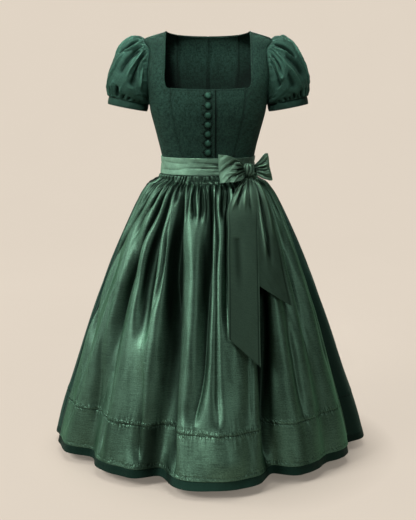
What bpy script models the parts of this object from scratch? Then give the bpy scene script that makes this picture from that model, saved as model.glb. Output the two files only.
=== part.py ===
"""Dirndl dress, worn shape with no wearer: bodice, puff sleeves, gathered skirt, apron and bow.

Metres, +Z up, the front faces -Y and +X is the wearer's left. The origin lies midway between the
two shoulder points, where the dress hangs on its wearer. A place on the dress is a pair
(turn, z): turn is the angle round the body in degrees, 0 at the front, 90 at the wearer's left.
"""

import math

import bmesh
import bpy
import numpy as np

# Driving dimensions.
HEM_Z = -1.100                # lower edge of the skirt
WAIST_Z = -0.345              # seam of bodice and skirt, under the apron band
APRON_HEM_Z = -1.078          # lower edge of the apron
TUCK_Z = -0.973               # gathered tuck above the hems
BAND_TOP_Z = -0.322           # apron band
BAND_BOTTOM_Z = -0.366
SEAM_GAP = 0.0003             # room between two pieces that are sewn together
BODICE_WALL = 0.0018
SKIRT_WALL = 0.0016
APRON_WALL = 0.0016
SLEEVE_WALL = 0.0015
BAND_WALL = 0.0014
RIBBON_WALL = 0.0014

# Bodice: level sections of its outer face. front and back are depths from the shoulder plane.
TORSO_COLUMNS = ("z", "half", "front", "back")
TORSO = [
    (0.000, 0.108, 0.030, 0.060),
    (-0.018, 0.165, 0.052, 0.074),
    (-0.050, 0.176, 0.075, 0.090),
    (-0.090, 0.177, 0.098, 0.100),
    (-0.130, 0.168, 0.118, 0.105),
    (-0.165, 0.158, 0.128, 0.105),
    (-0.208, 0.151, 0.126, 0.101),
    (-0.250, 0.140, 0.115, 0.094),
    (-0.292, 0.129, 0.103, 0.088),
    (-0.345, 0.118, 0.094, 0.084),
]
TORSO_POWER = 2.3             # superellipse power of a level section, 2 is an ellipse

# Skirt: level sections of the outermost cloth, the ridges between its folds.
SKIRT_COLUMNS = ("z", "half", "front", "back", "power", "lobes")
SKIRT = [
    (-0.3450, 0.1245, 0.1010, 0.0915, 2.3, 0.000),
    (-0.3660, 0.1275, 0.1035, 0.0940, 2.3, 0.000),
    (-0.3780, 0.1425, 0.1170, 0.1080, 2.3, 0.000),
    (-0.3900, 0.1525, 0.1270, 0.1180, 2.2, 0.000),
    (-0.4150, 0.1730, 0.1450, 0.1370, 2.1, 0.000),
    (-0.4420, 0.1880, 0.1590, 0.1520, 2.0, 0.000),
    (-0.5230, 0.2270, 0.1960, 0.1920, 2.0, 0.000),
    (-0.6330, 0.2730, 0.2410, 0.2390, 2.0, 0.006),
    (-0.7450, 0.3160, 0.2810, 0.2800, 2.0, 0.016),
    (-0.9150, 0.3740, 0.3370, 0.3360, 2.0, 0.030),
    (-1.0320, 0.4140, 0.3740, 0.3720, 2.0, 0.038),
    (-1.1000, 0.4310, 0.3960, 0.3920, 2.0, 0.042),
]
FRONT_COLUMNS = 64            # faces round the front half, two to each gather at the waist
BACK_COLUMNS = 48
GATHER_DEPTH = 0.0031         # half the height of a gather just under the band
GATHER_START = 0.008          # they reach it this far below the band
GATHER_FADE_Z = -0.400
GATHER_END_Z = -0.520         # where they have faded
APRON_EDGE_COLUMN = 4         # the apron stops this many columns short of the side seams

# Large folds: the valleys between ridges. Turns are given under the band, at mid height and at
# the hem; depths in metres at mid height and at the hem; before and after are half-widths in
# degrees on the side of the smaller and of the larger turn.
FOLD_COLUMNS = ("waist", "middle", "hem", "middle_depth", "hem_depth", "before", "after")
FOLDS = [
    (-90, -86, -87, 0.011, 0.024, 5, 5),
    (-76, -70, -77, 0.012, 0.012, 5, 6),
    (-66, -52, -58, 0.024, 0.040, 7, 8),
    (-42, -35, -33, 0.018, 0.006, 5, 6),
    (-24, -17, -20, 0.030, 0.060, 6, 7),
    (-3, -1, -6, 0.017, 0.000, 5, 4),
    (8, 8, 6, 0.009, 0.000, 3, 4),
    (21, 17, 14, 0.012, 0.006, 4, 4),
    (38, 30, 27, 0.024, 0.052, 7, 5),
    (52, 45, 41, 0.014, 0.000, 5, 5),
    (66, 58, 53, 0.017, 0.012, 5, 5),
    (82, 78, 76, 0.018, 0.043, 7, 6),
    (101, 103, 104, 0.014, 0.026, 6, 7),
    (119, 121, 118, 0.017, 0.008, 6, 6),
    (136, 139, 137, 0.022, 0.048, 6, 7),
    (152, 154, 157, 0.013, 0.004, 5, 5),
    (170, 171, 168, 0.022, 0.044, 7, 6),
    (190, 189, 193, 0.014, 0.004, 5, 6),
    (207, 205, 207, 0.020, 0.050, 6, 7),
    (225, 224, 221, 0.013, 0.006, 6, 5),
    (240, 241, 243, 0.019, 0.038, 7, 6),
    (258, 257, 257, 0.012, 0.018, 5, 6),
]
FOLD_START_Z = -0.372
FOLD_MIDDLE_Z = -0.640

# Armhole: an oval seen from the side, laid onto the bodice.
ARMHOLE_Z = -0.098
ARMHOLE_HALF_HEIGHT = 0.080
ARMHOLE_HALF_DEPTH = 0.056
ARMHOLE_PARTS = 12            # straight parts of its front half, and of its back half

# Sleeve and cuff.
CUFF_TILT = 11.0              # degrees, the outer side is the higher
CUFF_RADIUS = 0.0530
CUFF_HEIGHT = 0.020
CUFF_WALL = 0.0020
CUFF_CENTRE = np.array([0.2085, 0.0, -0.1765])
SLEEVE_GATHERS = 16
SLEEVE_GATHER_DEPTH = 0.0032

# Seams of the bodice's front, by the distance from the centre at each height.
FRONT_SEAM = [(-0.345, 0.062), (-0.305, 0.070), (-0.250, 0.083), (-0.200, 0.092), (-0.144, 0.096)]
BACK_SEAM = [(-0.345, 0.052), (-0.250, 0.066), (-0.150, 0.078), (-0.060, 0.083), (-0.006, 0.080)]
# Front neck edge from the front seam's top, round the square corner and up the strap.
NECK_EDGE = [
    (-0.1440, 0.0960), (-0.1436, 0.1000), (-0.1418, 0.1045), (-0.1380, 0.1075), (-0.1320, 0.1090),
    (-0.0900, 0.1095), (-0.0450, 0.1088), (-0.0150, 0.1080), (0.0000, 0.1080),
]
NECK_CENTRE_Z = -0.148        # the front neck edge is a little lower at the centre
BACK_NECK_DROP = 0.010        # the back neck edge at the centre, below the shoulder points
SHOULDER_Z = -0.018           # outer end of the shoulder seam

# Front closing: the wearer's right front laps over the left one.
LAP_EDGE = 0.017
UNDERLAP_EDGE = -0.012
LAP_RAMP = 0.045              # where the lapped front starts to rise, from the centre
LAP_CLEARANCE = 0.0006
BUTTONS = 7
BUTTON_TOP_Z = -0.163
BUTTON_BOTTOM_Z = -0.306
BUTTON_RADIUS = 0.0088
BUTTON_HEIGHT = 0.0062

# Bow of the apron band, seen from the front: places across and up from the knot.
KNOT_X = 0.098
KNOT_Z = -0.352
KNOT_HALF_WIDTH = 0.0150
KNOT_HALF_HEIGHT = 0.0170
KNOT_DEPTH = 0.024

COLOURS = {
    "bodice_wool": ((0.024, 0.068, 0.048, 1.0), 0.90),
    "sleeve_cloth": ((0.026, 0.072, 0.052, 1.0), 0.65),
    "button_cloth": ((0.022, 0.062, 0.044, 1.0), 0.85),
    "skirt_cloth": ((0.022, 0.060, 0.043, 1.0), 0.75),
    "apron_satin": ((0.036, 0.082, 0.056, 1.0), 0.40),
    "ribbon_satin": ((0.070, 0.125, 0.088, 1.0), 0.36),
}


# Numbers and tables -------------------------------------------------------------------------

def column(rows, index):
    """One column of a table, as an array."""
    return np.array([row[index] for row in rows], dtype=float)


def smooth(places, values, at):
    """Cubic curve through (place, value) pairs, held level past both ends."""
    order = np.argsort(places)
    places, values = np.asarray(places, float)[order], np.asarray(values, float)[order]
    at = np.clip(np.asarray(at, float), places[0], places[-1])
    slopes = np.gradient(values, places)
    left = np.clip(np.searchsorted(places, at, side="right") - 1, 0, len(places) - 2)
    step = places[left + 1] - places[left]
    t = (at - places[left]) / step
    return (values[left] * (1 + 2 * t) * (1 - t) ** 2 + slopes[left] * step * t * (1 - t) ** 2
            + values[left + 1] * t * t * (3 - 2 * t) + slopes[left + 1] * step * t * t * (t - 1))


def ease(value, start, end):
    """0 before start, 1 after end and an even S-curve between them."""
    t = np.clip((np.asarray(value, float) - start) / (end - start), 0, 1)
    return t * t * (3 - 2 * t)


def unit(vectors):
    """The same directions with length 1."""
    return vectors / np.linalg.norm(vectors, axis=-1, keepdims=True)


def rounded(turn, z, rows, power):
    """Points of a surface given by level superellipse sections."""
    angle = np.radians(turn)
    sine, cosine = np.sin(angle), np.cos(angle)
    half = smooth(column(rows, 0), column(rows, 1), z)
    front = smooth(column(rows, 0), column(rows, 2), z)
    back = smooth(column(rows, 0), column(rows, 3), z)
    x = half * np.sign(sine) * np.abs(sine) ** (2 / power)
    y = np.where(cosine > 0, -front, back) * np.abs(cosine) ** (2 / power)
    return np.stack([x, y, z + 0 * x], axis=-1)


def normals(surface, turn, z):
    """Outward unit normals of a surface, from small steps round it and up it."""
    step_turn, step_z = 0.25, 0.0008
    around = surface(turn + step_turn, z) - surface(turn - step_turn, z)
    up = surface(turn, z + step_z) - surface(turn, z - step_z)
    return unit(np.cross(around, up))


# The body surfaces ----------------------------------------------------------------------------

def torso(turn, z):
    """Outer face of the bodice."""
    return rounded(turn, z, TORSO, TORSO_POWER)


def turn_at(x, z, back=False):
    """The turn at which the bodice is x from the centre at height z."""
    half = smooth(column(TORSO, 0), column(TORSO, 1), z)
    share = np.clip(np.abs(x) / half, 0, 1) ** (TORSO_POWER / 2)
    turn = np.degrees(np.arcsin(share))
    return np.sign(x) * (180 - turn if back else turn)


def fold_depth(turn, z):
    """How deep the large folds cut in below the ridges, in metres."""
    past_start = ease(-z, -FOLD_START_Z, -FOLD_MIDDLE_Z)
    past_middle = np.clip((z - FOLD_MIDDLE_Z) / (HEM_Z - FOLD_MIDDLE_Z), 0, 1)
    depth = 0 * turn + 0 * z
    for waist, middle, hem, middle_depth, hem_depth, before, after in FOLDS:
        upper = waist + (middle - waist) * past_start
        place = upper + (hem - middle) * past_middle
        away = (turn - place + 180) % 360 - 180
        width = np.where(away < 0, before, after)
        deep = middle_depth * past_start + (hem_depth - middle_depth) * past_middle
        depth = depth + deep * np.exp(-(away / width) ** 2)
    return depth


def skirt_ridges(turn, z):
    """The skirt's outermost cloth: smooth sections, slightly four-sided towards the hem."""
    power = smooth(column(SKIRT, 0), column(SKIRT, 4), z)
    lobes = smooth(column(SKIRT, 0), column(SKIRT, 5), z)
    points = rounded(turn, z, SKIRT, power)
    scale = 1 - lobes * (1 - np.cos(np.radians(4 * turn)))
    return points * np.stack([scale, scale, 1 + 0 * scale], axis=-1)


def skirt(turn, z):
    """The skirt's outer face with its large folds, without its fine gathers."""
    points = skirt_ridges(turn, z)
    radius = np.hypot(points[..., 0], points[..., 1])
    scale = 1 - fold_depth(turn, z) / radius
    return points * np.stack([scale, scale, 1 + 0 * scale], axis=-1)


def gather_depth(z):
    """Half the height of the fine gathers: none under the band, most just below it, then fading."""
    start = ease(-z, -BAND_BOTTOM_Z, GATHER_START - BAND_BOTTOM_Z)
    return GATHER_DEPTH * start * ease(z, GATHER_END_Z, GATHER_FADE_Z)


def gathers(turn, z, columns):
    """The fine gathers, one ridge to every second column of a half."""
    uneven = 0.75 + 0.25 * np.sin(np.radians(11 * turn + 40))
    return gather_depth(z) * uneven * np.cos(np.radians(columns * turn))


# Making solids --------------------------------------------------------------------------------

def finish_object(name, vertices, faces, material):
    """A named object with outward faces, from points and faces."""
    mesh = bpy.data.meshes.new(name)
    mesh.from_pydata([tuple(point) for point in vertices], [], faces)
    work = bmesh.new()
    work.from_mesh(mesh)
    bmesh.ops.recalc_face_normals(work, faces=work.faces)
    work.to_mesh(mesh)
    work.free()
    mesh.shade_smooth()
    mesh.set_sharp_from_angle(angle=math.radians(50))
    mesh.materials.append(bpy.data.materials[material])
    obj = bpy.data.objects.new(name, mesh)
    bpy.context.scene.collection.objects.link(obj)
    return obj


def wall(name, outer, inner, material, closed=False):
    """A closed wall between two grids of points with the same rows and columns."""
    rows, columns = outer.shape[:2]
    spans = columns if closed else columns - 1

    def index(layer, row, col):
        return layer * rows * columns + row * columns + col % columns

    faces = []
    for row in range(rows - 1):
        for col in range(spans):
            for layer in (0, 1):
                a, b = index(layer, row, col), index(layer, row, col + 1)
                c, d = index(layer, row + 1, col + 1), index(layer, row + 1, col)
                faces += [(a, b, c), (a, c, d)] if layer == 0 else [(c, b, a), (d, c, a)]
    edges = [((row, col), (row, col + 1)) for row in (0, rows - 1) for col in range(spans)]
    if not closed:
        edges += [((row, col), (row + 1, col)) for col in (0, columns - 1) for row in range(rows - 1)]
    for first, second in edges:
        a, b = index(0, *first), index(0, *second)
        c, d = index(1, *second), index(1, *first)
        faces += [(a, b, c), (a, c, d)]
    points = np.concatenate([outer.reshape(-1, 3), inner.reshape(-1, 3)])
    return finish_object(name, points, faces, material)


def drawn_in(grid, gap=SEAM_GAP, rows=True, columns=True):
    """The same grid with its border points moved half the seam gap towards the inside."""
    grid = grid.copy()
    if columns:
        for edge, inside in ((0, 1), (-1, -2)):
            grid[:, edge] += unit(grid[:, inside] - grid[:, edge]) * gap / 2
    if rows:
        for edge, inside in ((0, 1), (-1, -2)):
            grid[edge] += unit(grid[inside] - grid[edge]) * gap / 2
    return grid


def mirrored(grid):
    """The wearer's right-hand twin of a grid."""
    return (grid * np.array([-1.0, 1.0, 1.0]))[:, ::-1]


# Bodice ---------------------------------------------------------------------------------------

def path_points(path, count, crowd=1.0):
    """A path of (turn, z) points read at places along its length; crowd over 1 draws them to its start."""
    path = np.array(path, dtype=float)
    steps = np.linalg.norm(np.diff(torso(path[:, 0], path[:, 1]), axis=0), axis=1)
    along = np.concatenate([[0], np.cumsum(steps)])
    at = along[-1] * np.linspace(0, 1, count + 1) ** crowd
    return np.stack([np.interp(at, along, path[:, 0]), np.interp(at, along, path[:, 1])], axis=1)


def seam_path(table, back=False, points=24):
    """A seam given by its distance from the centre at each height, as (turn, z) points."""
    heights = np.linspace(table[0][0], table[-1][0], points)
    x = smooth(column(table, 0), column(table, 1), heights)
    return np.stack([turn_at(x, heights, back), heights], axis=1)


def neck_path(points=60):
    """Front neck edge from the front seam's top to the shoulder point."""
    z = NECK_EDGE[0][0] * (1 - np.linspace(0, 1, points) ** 2)
    x = smooth(column(NECK_EDGE, 0), column(NECK_EDGE, 1), z)
    return np.stack([turn_at(x, z), z], axis=1)


def back_neck_path(start_turn, end_turn, points=12):
    """Back neck edge between two turns: a shallow curve, lowest at the centre."""
    turns = np.linspace(start_turn, end_turn, points)
    drops = np.sin(np.radians(turns - 90)) ** 2
    return np.stack([turns, -BACK_NECK_DROP * drops], axis=1)


def armhole_half(back=False):
    """Half of the armhole's edge from underarm to shoulder, as (turn, z) points."""
    angle = np.linspace(math.pi, 0, ARMHOLE_PARTS + 1)
    z = ARMHOLE_Z + ARMHOLE_HALF_HEIGHT * np.cos(angle)
    y = ARMHOLE_HALF_DEPTH * np.sin(angle)
    depth = smooth(column(TORSO, 0), column(TORSO, 3 if back else 2), z)
    turn = np.degrees(np.arccos(np.clip(y / depth, 0, 1) ** (TORSO_POWER / 2)))
    turn[0] = turn[-1] = 90
    return np.stack([180 - turn if back else turn, z], axis=1)


def patch(bottom, top, start, end):
    """(turn, z) pairs that fill the space between four edges with shared corners."""
    across = np.linspace(0, 1, len(bottom))[None, :, None]
    up = np.linspace(0, 1, len(start))[:, None, None]
    ruled_up = bottom[None] * (1 - up) + top[None] * up
    ruled_across = start[:, None] * (1 - across) + end[:, None] * across
    corners = ((bottom[0] * (1 - across) + bottom[-1] * across) * (1 - up)
               + (top[0] * (1 - across) + top[-1] * across) * up)
    return ruled_up + ruled_across - corners


def waist_path(start_turn, end_turn, count):
    """The bodice's lower edge between two turns."""
    turns = np.linspace(start_turn, end_turn, count + 1)
    return np.stack([turns, np.full(count + 1, WAIST_Z)], axis=1)


def bodice_panel(name, pairs, mirror=False, lift=None):
    """A bodice piece from its (turn, z) pairs; lift(points) moves parts of it outwards."""
    outer = torso(pairs[..., 0], pairs[..., 1])
    across = normals(torso, pairs[..., 0], np.minimum(pairs[..., 1], -0.001))
    if lift is not None:
        outer = outer + across * lift(outer)[..., None]
    inner = outer - across * BODICE_WALL
    outer, inner = drawn_in(outer), drawn_in(inner)
    if mirror:
        outer, inner = mirrored(outer), mirrored(inner)
    wall(name, outer, inner, "bodice_wool")


def front_pairs(edge_x, columns):
    """Left front piece between its centre edge and its long seam."""
    seam = path_points(seam_path(FRONT_SEAM), 8)
    z = np.linspace(WAIST_Z, NECK_CENTRE_Z, len(seam))
    centre = np.stack([turn_at(np.full(len(z), edge_x), z), z], axis=1)
    bottom = waist_path(centre[0, 0], seam[0, 0], columns)
    share = np.linspace(0, 1, columns + 1)
    turns = centre[-1, 0] + (seam[-1, 0] - centre[-1, 0]) * share
    level = NECK_CENTRE_Z + (seam[-1, 1] - NECK_CENTRE_Z) * share ** 2
    return patch(bottom, np.stack([turns, level], axis=1), centre, seam)


def lap_lift(points):
    """The upper front stands clear of the lower one where it laps over it."""
    return (BODICE_WALL + LAP_CLEARANCE) * ease(-points[..., 0], -LAP_RAMP, 2 * UNDERLAP_EDGE)


def make_bodice():
    """Eight cut pieces: front, side front, side back and back on each side."""
    bodice_panel("bodice_front_left", front_pairs(UNDERLAP_EDGE, 5))
    bodice_panel("bodice_front_right", front_pairs(-LAP_EDGE, 6), mirror=True, lift=lap_lift)

    lower_parts = 7
    parts = lower_parts + ARMHOLE_PARTS
    front_seam = path_points(seam_path(FRONT_SEAM), 8)
    neck = path_points(neck_path(), parts - 8, crowd=1.7)
    inner_edge = np.concatenate([front_seam, neck[1:]])
    side_z = np.linspace(WAIST_Z, ARMHOLE_Z - ARMHOLE_HALF_HEIGHT, lower_parts + 1)
    side_seam = np.stack([np.full(lower_parts + 1, 90.0), side_z], axis=1)
    outer_edge = np.concatenate([side_seam, armhole_half()[1:]])
    shoulder = np.stack([np.full(4, 90.0), np.linspace(0, SHOULDER_Z, 4)], axis=1)
    side_front = patch(waist_path(front_seam[0, 0], 90, 3), shoulder, inner_edge, outer_edge)

    back_parts = 12
    back_seam = path_points(seam_path(BACK_SEAM, back=True), back_parts)
    seam_turn = back_seam[-1, 0]
    back_seam[-1, 1] = back_neck_path(seam_turn, seam_turn, 1)[0, 1]
    centre_z = np.linspace(WAIST_Z, -BACK_NECK_DROP, back_parts + 1)
    centre = np.stack([np.full(back_parts + 1, 180.0), centre_z], axis=1)
    back_bottom = waist_path(back_seam[0, 0], 180, 3)
    back = patch(back_bottom, back_neck_path(seam_turn, 180, 4), back_seam, centre)

    back_neck = path_points(back_neck_path(seam_turn, 90), parts - back_parts)
    inner_back = np.concatenate([back_seam, back_neck[1:]])
    outer_back = np.concatenate([side_seam, armhole_half(back=True)[1:]])
    side_back = patch(waist_path(back_seam[0, 0], 90, 3), shoulder, inner_back, outer_back)[:, ::-1]

    for side, mirror in (("left", False), ("right", True)):
        bodice_panel("bodice_side_front_" + side, side_front, mirror)
        bodice_panel("bodice_side_back_" + side, side_back, mirror)
        bodice_panel("bodice_back_" + side, back, mirror)


# Sleeves --------------------------------------------------------------------------------------

def armhole_loop():
    """The armhole's edge all round, from the shoulder down the front and up the back."""
    front, back = armhole_half()[::-1], armhole_half(back=True)
    pairs = np.concatenate([front, back[1:-1]])
    points = torso(pairs[:, 0], pairs[:, 1])
    across = normals(torso, pairs[:, 0], pairs[:, 1])
    return points + across * SEAM_GAP


def cuff_frame():
    """The cuff's outward direction and its axis, which runs down the arm."""
    tilt = math.radians(CUFF_TILT)
    return (np.array([math.cos(tilt), 0, math.sin(tilt)]), np.array([math.sin(tilt), 0, -math.cos(tilt)]))


def sleeve_points(loop_share, along):
    """Sleeve surface: each lengthwise curve leaves the armhole outwards and closes on the cuff."""
    loop = armhole_loop()
    places = loop_share * len(loop)
    low = np.floor(places).astype(int) % len(loop)
    part = (places - np.floor(places))[:, None]
    start = loop[low] * (1 - part) + loop[(low + 1) % len(loop)] * part
    angle = 2 * math.pi * loop_share
    cap = (1 + np.cos(angle)) / 2
    outward, axis = cuff_frame()
    front = np.array([0.0, -1.0, 0.0])
    radial = np.cos(angle)[:, None] * outward + np.sin(angle)[:, None] * front
    end = CUFF_CENTRE + radial * (CUFF_RADIUS - CUFF_WALL / 2)
    leave = np.stack([0.86 + 0 * angle, -0.58 * np.sin(angle), 0.50 * np.cos(angle)], axis=1)
    leave_length = (0.020 + 0.105 * np.sin(angle) ** 2 + 0.172 * cap ** 2)[:, None]
    arrive = axis * 0.80 - radial * 0.62
    arrive_length = (0.012 + 0.085 * np.sin(angle) ** 2 + 0.120 * cap ** 2)[:, None]
    t = along[:, None, None]
    return (start * (1 + 2 * t) * (1 - t) ** 2 + leave * leave_length * t * (1 - t) ** 2
            + end * t * t * (3 - 2 * t) + arrive * arrive_length * t * t * (t - 1))


def make_sleeve(side, mirror):
    """A puff sleeve, gathered into the armhole and into its cuff."""
    columns = 2 * 2 * ARMHOLE_PARTS
    share = np.arange(columns) / columns
    along = np.array([0.0, 0.09, 0.20, 0.36, 0.56, 0.80, 1.0])
    points = sleeve_points(share, along)
    around = np.roll(points, -1, axis=1) - np.roll(points, 1, axis=1)
    down = np.gradient(points, axis=0)
    across = unit(np.cross(down, around))
    middle = points.mean(axis=(0, 1))
    facing = np.sum(across * (points - middle), axis=-1).mean()
    across = across * np.sign(facing)
    cap = (1 + np.cos(2 * math.pi * share)) / 2
    swell = np.sin(math.pi * along[:, None]) ** 0.5 * (0.35 + 0.65 * cap[None])
    wave = np.cos(2 * math.pi * SLEEVE_GATHERS * share)[None]
    outer = points + across * (SLEEVE_GATHER_DEPTH * swell * wave)[..., None]
    inner = outer - across * SLEEVE_WALL
    if mirror:
        outer, inner = mirrored(outer), mirrored(inner)
    wall("sleeve_" + side, outer, inner, "sleeve_cloth", closed=True)


def make_cuff(side, mirror):
    """The narrow band that ends the sleeve."""
    outward, axis = cuff_frame()
    angle = np.linspace(0, 2 * math.pi, 28, endpoint=False)
    front = np.array([0.0, -1.0, 0.0])
    radial = np.cos(angle)[:, None] * outward + np.sin(angle)[:, None] * front
    rows = np.array([SEAM_GAP, CUFF_HEIGHT])[:, None, None]
    centre = CUFF_CENTRE + axis * rows
    outer = centre + radial * CUFF_RADIUS
    inner = centre + radial * (CUFF_RADIUS - CUFF_WALL)
    if mirror:
        outer, inner = mirrored(outer), mirrored(inner)
    wall("cuff_" + side, outer, inner, "sleeve_cloth", closed=True)


# Skirt and apron --------------------------------------------------------------------------------

SKIRT_TOP = WAIST_Z - SEAM_GAP
FRONT_ROWS = [SKIRT_TOP, -0.366, -0.395, -0.430, -0.520, -0.600, -0.700, -0.830, TUCK_Z,
              APRON_HEM_Z, HEM_Z]
BACK_ROWS = [SKIRT_TOP, -0.366, -0.372, -0.380, -0.395, -0.430, -0.520, -0.600, -0.700,
             -0.830, TUCK_Z + 0.006, TUCK_Z, TUCK_Z - 0.006, HEM_Z]
APRON_ROWS = [BAND_BOTTOM_Z - SEAM_GAP, -0.372, -0.380, -0.395, -0.430, -0.520, -0.600,
              -0.700, -0.830, TUCK_Z + 0.006, TUCK_Z, TUCK_Z - 0.006, APRON_HEM_Z]
TUCK_HEIGHT = 0.0016
UNDER_BAND = 0.0040           # how far the skirt lies inside the band's and apron's surface
UNDER_APRON = 0.0026


def skirt_wall(name, turns, rows, wall_depth, inset, columns, material):
    """A gathered piece of the skirt: its outer face lies inset below the skirt's surface."""
    turn, z = np.meshgrid(np.array(turns, float), np.array(rows, float))
    across = normals(skirt, turn, z)
    across[np.abs(np.cos(np.radians(turn))) < 1e-6, 1] = 0      # side seams lie in the shoulder plane
    across = unit(across)
    ridge = TUCK_HEIGHT * (np.abs(z - TUCK_Z) < 0.001)
    depth = inset(turn, z)
    fine = gathers(turn, z, columns) * (1 - ease(depth, 0, UNDER_APRON))
    outer = skirt(turn, z) + across * (fine + ridge * (depth < UNDER_APRON / 2) - depth)[..., None]
    inner = outer - across * wall_depth
    outer, inner = drawn_in(outer, rows=False), drawn_in(inner, rows=False)
    wall(name, outer, inner, material)


def front_inset(turn, z):
    """The skirt's front lies under the apron, and rises to the surface beside it."""
    inside = np.where(z < BAND_BOTTOM_Z - 0.001, UNDER_APRON + gather_depth(z), UNDER_BAND)
    beside = ease(np.abs(turn), 80, 88) * ease(-z, -BAND_BOTTOM_Z, 0.380)
    return inside * (1 - beside)


def back_inset(turn, z):
    """The skirt's back lies inside the band and rises to the surface below it."""
    return UNDER_BAND * (1 - ease(-z, -BAND_BOTTOM_Z, 0.380))


def no_inset(turn, z):
    """The apron is the surface itself."""
    return 0 * turn


def make_skirt():
    """Front and back of the skirt, joined at the sides, and the apron over the front."""
    front = np.linspace(-90, 90, FRONT_COLUMNS + 1)
    skirt_wall("skirt_front", front, FRONT_ROWS, SKIRT_WALL, front_inset, FRONT_COLUMNS, "skirt_cloth")
    back = np.linspace(90, 270, BACK_COLUMNS + 1)
    skirt_wall("skirt_back", back, BACK_ROWS, SKIRT_WALL, back_inset, BACK_COLUMNS, "skirt_cloth")
    apron = front[APRON_EDGE_COLUMN:-APRON_EDGE_COLUMN]
    skirt_wall("apron", apron, APRON_ROWS, APRON_WALL, no_inset, FRONT_COLUMNS, "apron_satin")


def make_band():
    """The apron's band all round the waist."""
    turn, z = np.meshgrid(np.linspace(0, 360, 48, endpoint=False), np.array([BAND_TOP_Z, BAND_BOTTOM_Z]))
    outer = band(turn, z)
    inner = outer - normals(band, turn, z) * BAND_WALL
    wall("apron_band", outer, inner, "ribbon_satin", closed=True)


BAND = [
    (BAND_TOP_Z, 0.1252, 0.1025, 0.0935),
    (WAIST_Z, 0.1250, 0.1025, 0.0935),
    (BAND_BOTTOM_Z, 0.1268, 0.1045, 0.0955),
]


def band(turn, z):
    """Outer face of the apron band."""
    return rounded(turn, z, BAND, TORSO_POWER)


# Buttons and bow --------------------------------------------------------------------------------

def make_buttons():
    """Covered buttons down the lap, each a low dome on a short neck."""
    profile = [(0.45, 0.00), (0.80, 0.10), (1.00, 0.34), (0.97, 0.58), (0.72, 0.87), (0.36, 0.99)]
    sides = 14
    for number in range(BUTTONS):
        z = np.array(BUTTON_TOP_Z + (BUTTON_BOTTOM_Z - BUTTON_TOP_Z) * number / (BUTTONS - 1))
        turn = np.array(0.0)
        across = normals(torso, turn, z)
        place = torso(turn, z) + across * (BODICE_WALL + 3 * SEAM_GAP)
        side = np.array([1.0, 0.0, 0.0])
        up = np.cross(side, across)
        points, faces = [], []
        for radius, height in profile:
            for step in range(sides):
                angle = 2 * math.pi * step / sides
                spoke = side * math.cos(angle) + up * math.sin(angle)
                points.append(place + spoke * radius * BUTTON_RADIUS + across * height * BUTTON_HEIGHT)
        for ring in range(len(profile) - 1):
            for step in range(sides):
                a, b = ring * sides + step, ring * sides + (step + 1) % sides
                faces.append((a, b, b + sides, a + sides))
        faces.append(tuple(range(sides)))
        faces.append(tuple(range((len(profile) - 1) * sides, len(profile) * sides)))
        finish_object("button_%d" % (number + 1), points, faces, "button_cloth")


COVER = [
    (-0.300, 0.1290, 0.1080, 0.0980),
    (-0.345, 0.1300, 0.1090, 0.0990),
    (-0.366, 0.1370, 0.1160, 0.1060),
    (-0.378, 0.1480, 0.1270, 0.1180),
    (-0.390, 0.1590, 0.1370, 0.1280),
    (-0.415, 0.1790, 0.1560, 0.1480),
    (-0.442, 0.1930, 0.1660, 0.1590),
    (-0.523, 0.2310, 0.2000, 0.1960),
    (-0.633, 0.2770, 0.2430, 0.2410),
    (-0.745, 0.3190, 0.2820, 0.2810),
    (-0.860, 0.3580, 0.3180, 0.3170),
]


def cover(x, z):
    """The smooth surface just outside band and apron where the bow lies, by x and z."""
    half = smooth(column(COVER, 0), column(COVER, 1), z)
    front = smooth(column(COVER, 0), column(COVER, 2), z)
    depth = front * np.sqrt(np.clip(1 - (x / half) ** 2, 0.0, 1))
    return np.stack([x + 0 * z, -depth, z + 0 * x], axis=-1)


# Each tail by height: left and right edge across, and how far it stands off the apron.
TAIL_COLUMNS = ("z", "left", "right", "stand")
FRONT_TAIL = [
    (-0.372, 0.083, 0.104, 0.0150),
    (-0.395, 0.068, 0.114, 0.0120),
    (-0.430, 0.052, 0.122, 0.0080),
    (-0.500, 0.049, 0.124, 0.0065),
    (-0.640, 0.049, 0.126, 0.0065),
    (-0.748, 0.049, 0.128, 0.0065),
]
FRONT_TAIL_CUT = 0.073        # how much longer its right edge is
BACK_TAIL = [
    (-0.372, 0.095, 0.116, 0.0070),
    (-0.395, 0.096, 0.134, 0.0060),
    (-0.430, 0.098, 0.152, 0.0035),
    (-0.500, 0.104, 0.173, 0.0030),
    (-0.580, 0.110, 0.196, 0.0030),
    (-0.623, 0.115, 0.211, 0.0030),
]
BACK_TAIL_CUT = 0.067


def make_tail(name, rows, cut):
    """A hanging ribbon end, gathered at the knot and cut slantwise at its foot."""
    columns = 6
    heights = np.array([row[0] for row in rows])
    fine = np.concatenate([np.linspace(a, b, 2, endpoint=False) for a, b in zip(heights, heights[1:])])
    fine = np.append(fine, heights[-1])
    share = np.linspace(0, 1, columns + 1)[None]
    level = fine[:, None]
    left = smooth(heights, column(rows, 1), level)
    right = smooth(heights, column(rows, 2), level)
    stand = smooth(heights, column(rows, 3), level)
    fall = np.clip((heights[0] - level) / (heights[0] - heights[-1]), 0, 1)
    x = left + (right - left) * share
    z = level - cut * share * fall ** 3
    flute = 0.0022 * np.cos(3 * 2 * math.pi * share) * (1 - fall) ** 2
    base = cover(x, z)
    step = 0.001
    across = unit(np.cross(cover(x + step, z) - cover(x - step, z), cover(x, z + step) - cover(x, z - step)))
    level_out = unit(across * np.array([1.0, 1.0, 0.0]))
    inner = base + level_out * (stand + flute)[..., None]
    wall(name, inner + across * RIBBON_WALL, inner, "ribbon_satin")


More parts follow.
